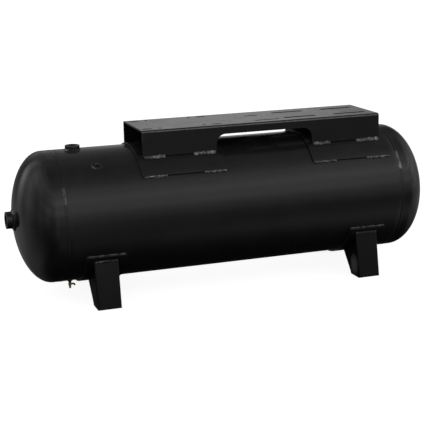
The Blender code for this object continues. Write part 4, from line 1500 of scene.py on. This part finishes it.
# The studio's sky, as rings of soft patches of light.  Each ring is elevation,
# half width and half height in degrees, then (azimuth, strength) of its patches.
# Azimuth 0 is the front (-Y), +90 the +X end and 180 the back.
SKY_RINGS = (
    (-62, 60, 20, ((-60, 0.02),)),
    (-36, 34, 14, ((-120, 0.16), (0, 0.01), (60, 0.29))),
    (-16, 22, 11, (
        (-180, 0.13), (-144, 0.17), (-108, 0.08), (-72, 0.06), (-36, 0.07), (0, 0.20),
        (72, 0.30), (108, 0.21), (144, 0.06),
    )),
    (2, 18, 9, (
        (-180, 0.07), (-150, 0.04), (-120, 0.23), (-90, 0.20), (-60, 0.26), (-30, 0.13),
        (0, 0.33), (30, 0.27), (60, 0.53), (90, 0.48), (120, 0.07), (150, 0.45),
    )),
    (17, 15, 8, (
        (-180, 0.32), (-129, 0.24), (-103, 0.15), (-77, 0.32), (-51, 0.55), (-26, 0.39),
        (0, 0.68), (26, 0.69), (51, 0.54), (77, 0.95), (103, 0.45), (129, 0.06),
        (154, 0.17),
    )),
    (33, 22, 9, (
        (-180, 0.20), (-144, 0.13), (-108, 0.31), (-72, 0.28), (-36, 0.41), (0, 0.68),
        (36, 0.73), (72, 0.87), (108, 0.18),
    )),
    (49, 27, 9, (
        (-180, 0.17), (-135, 0.15), (-90, 0.36), (-45, 0.26), (0, 0.40), (45, 0.31),
        (90, 0.30),
    )),
    (66, 50, 10, ((-180, 0.07), (-90, 0.19), (0, 0.12))),
    (86, 180, 14, ((-180, 0.12),)),
    (-8, 6, 9, (
        (-148, 0.04), (-124, 0.08), (-112, 0.02), (-88, 0.05), (124, 0.07), (136, 0.10),
        (148, 0.10),
    )),
    (10, 6, 12, (
        (-148, 0.78), (-136, 0.13), (-124, 0.21), (-112, 0.10), (-100, 0.01), (-88, 0.06),
        (100, 0.05), (112, 0.12), (124, 0.07), (136, 0.02), (160, 0.36),
    )),
    (32, 6, 16, (
        (-160, 0.03), (-148, 0.32), (-136, 0.10), (-124, 0.36), (-112, 0.28), (-100, 0.12),
        (-88, 0.14), (112, 0.10), (124, 0.04), (160, 0.12),
    )),
)
BACKDROP = 0.98         # sky strength as the camera sees it


def sky_ring(g, azimuth, elevation, ring):
    """Strength of one ring: a curve round the azimuth, fading off in elevation."""
    middle, wide, tall, patches = ring
    spread = wide / max(math.cos(math.radians(middle)), 0.2)
    steps = 60
    values = [
        sum(
            strength * math.exp(-((angle_gap(-180 + 6 * i, at) / spread) ** 2))
            for at, strength in patches
        )
        for i in range(steps + 1)
    ]
    top = max(values)
    curve = g.node("FloatCurve", {"Value": azimuth})
    line = curve.mapping.curves[0]
    line.points[0].location = (0.0, values[0] / top)
    line.points[1].location = (1.0, values[-1] / top)
    for i in range(1, steps):
        line.points.new(i / steps, values[i] / top)
    curve.mapping.update()
    fall = g.calc("DIVIDE", g.calc("SUBTRACT", elevation, float(middle)), float(tall))
    fall = g.calc("EXPONENT", g.times(g.times(fall, fall), -1.0))
    return g.times(g.times(curve.outputs["Value"], fall), top)


def make_sky():
    world = bpy.data.worlds.new("studio")
    SCENE.world = world
    world.use_nodes = True
    g = Graph(world.node_tree)
    axes = g.xyz(g.node("TexCoord", {}).outputs["Generated"])
    azimuth = g.calc("ARCTAN2", axes["X"], g.times(axes["Y"], -1.0))
    azimuth = g.scaled(azimuth, by=1 / (2 * math.pi), plus=0.5)
    elevation = g.times(g.calc("ARCSINE", axes["Z"]), 180 / math.pi)
    total = sky_ring(g, azimuth, elevation, SKY_RINGS[0])
    for ring in SKY_RINGS[1:]:
        total = g.plus(total, sky_ring(g, azimuth, elevation, ring))
    camera_ray = g.node("LightPath", {}).outputs["Is Camera Ray"]
    unseen = g.times(total, g.calc("SUBTRACT", 1.0, camera_ray))
    strength = g.plus(unseen, g.times(camera_ray, BACKDROP))
    background = world.node_tree.nodes["Background"]
    g.fill(background, {"Color": (1, 1, 1, 1), "Strength": strength})


def set_view():
    SCENE.view_settings.view_transform = "Standard"
    SCENE.view_settings.look = "None"
    SCENE.view_settings.exposure = 0.0
    SCENE.view_settings.gamma = 1.0


# the camera's aim in degrees, and its place in tank radii from the vessel's middle
CAMERA_AZIMUTH, CAMERA_ELEVATION, CAMERA_ROLL = -19.217, 13.626, -1.1145
CAMERA_BACK, CAMERA_LEFT, CAMERA_DOWN = 18.330, 0.1500, 0.2014
SENSOR_WIDTH, LENS = 36.0, 97.818962        # millimetres


def make_camera():
    data = bpy.data.cameras.new("camera")
    camera = add_object("camera", data)
    azimuth, elevation, roll = (
        math.radians(a) for a in (CAMERA_AZIMUTH, CAMERA_ELEVATION, CAMERA_ROLL)
    )
    back = Vector((
        math.sin(azimuth) * math.cos(elevation),
        -math.cos(azimuth) * math.cos(elevation),
        math.sin(elevation),
    ))
    level = Vector((math.cos(azimuth), math.sin(azimuth), 0))
    upright = back.cross(level)
    right = level * math.cos(roll) + upright * math.sin(roll)
    up = upright * math.cos(roll) - level * math.sin(roll)
    place = (
        back * (CAMERA_BACK * RADIUS)
        - right * (CAMERA_LEFT * RADIUS)
        - up * (CAMERA_DOWN * RADIUS)
    )
    camera.matrix_world = Matrix((
        (right.x, up.x, back.x, place.x),
        (right.y, up.y, back.y, place.y),
        (right.z, up.z, back.z, place.z + AXIS_Z),
        (0, 0, 0, 1),
    ))
    data.sensor_width = SENSOR_WIDTH
    data.lens = LENS
    data.clip_end = 200.0
    SCENE.camera = camera


make_floor()
make_sky()
set_view()
make_camera()
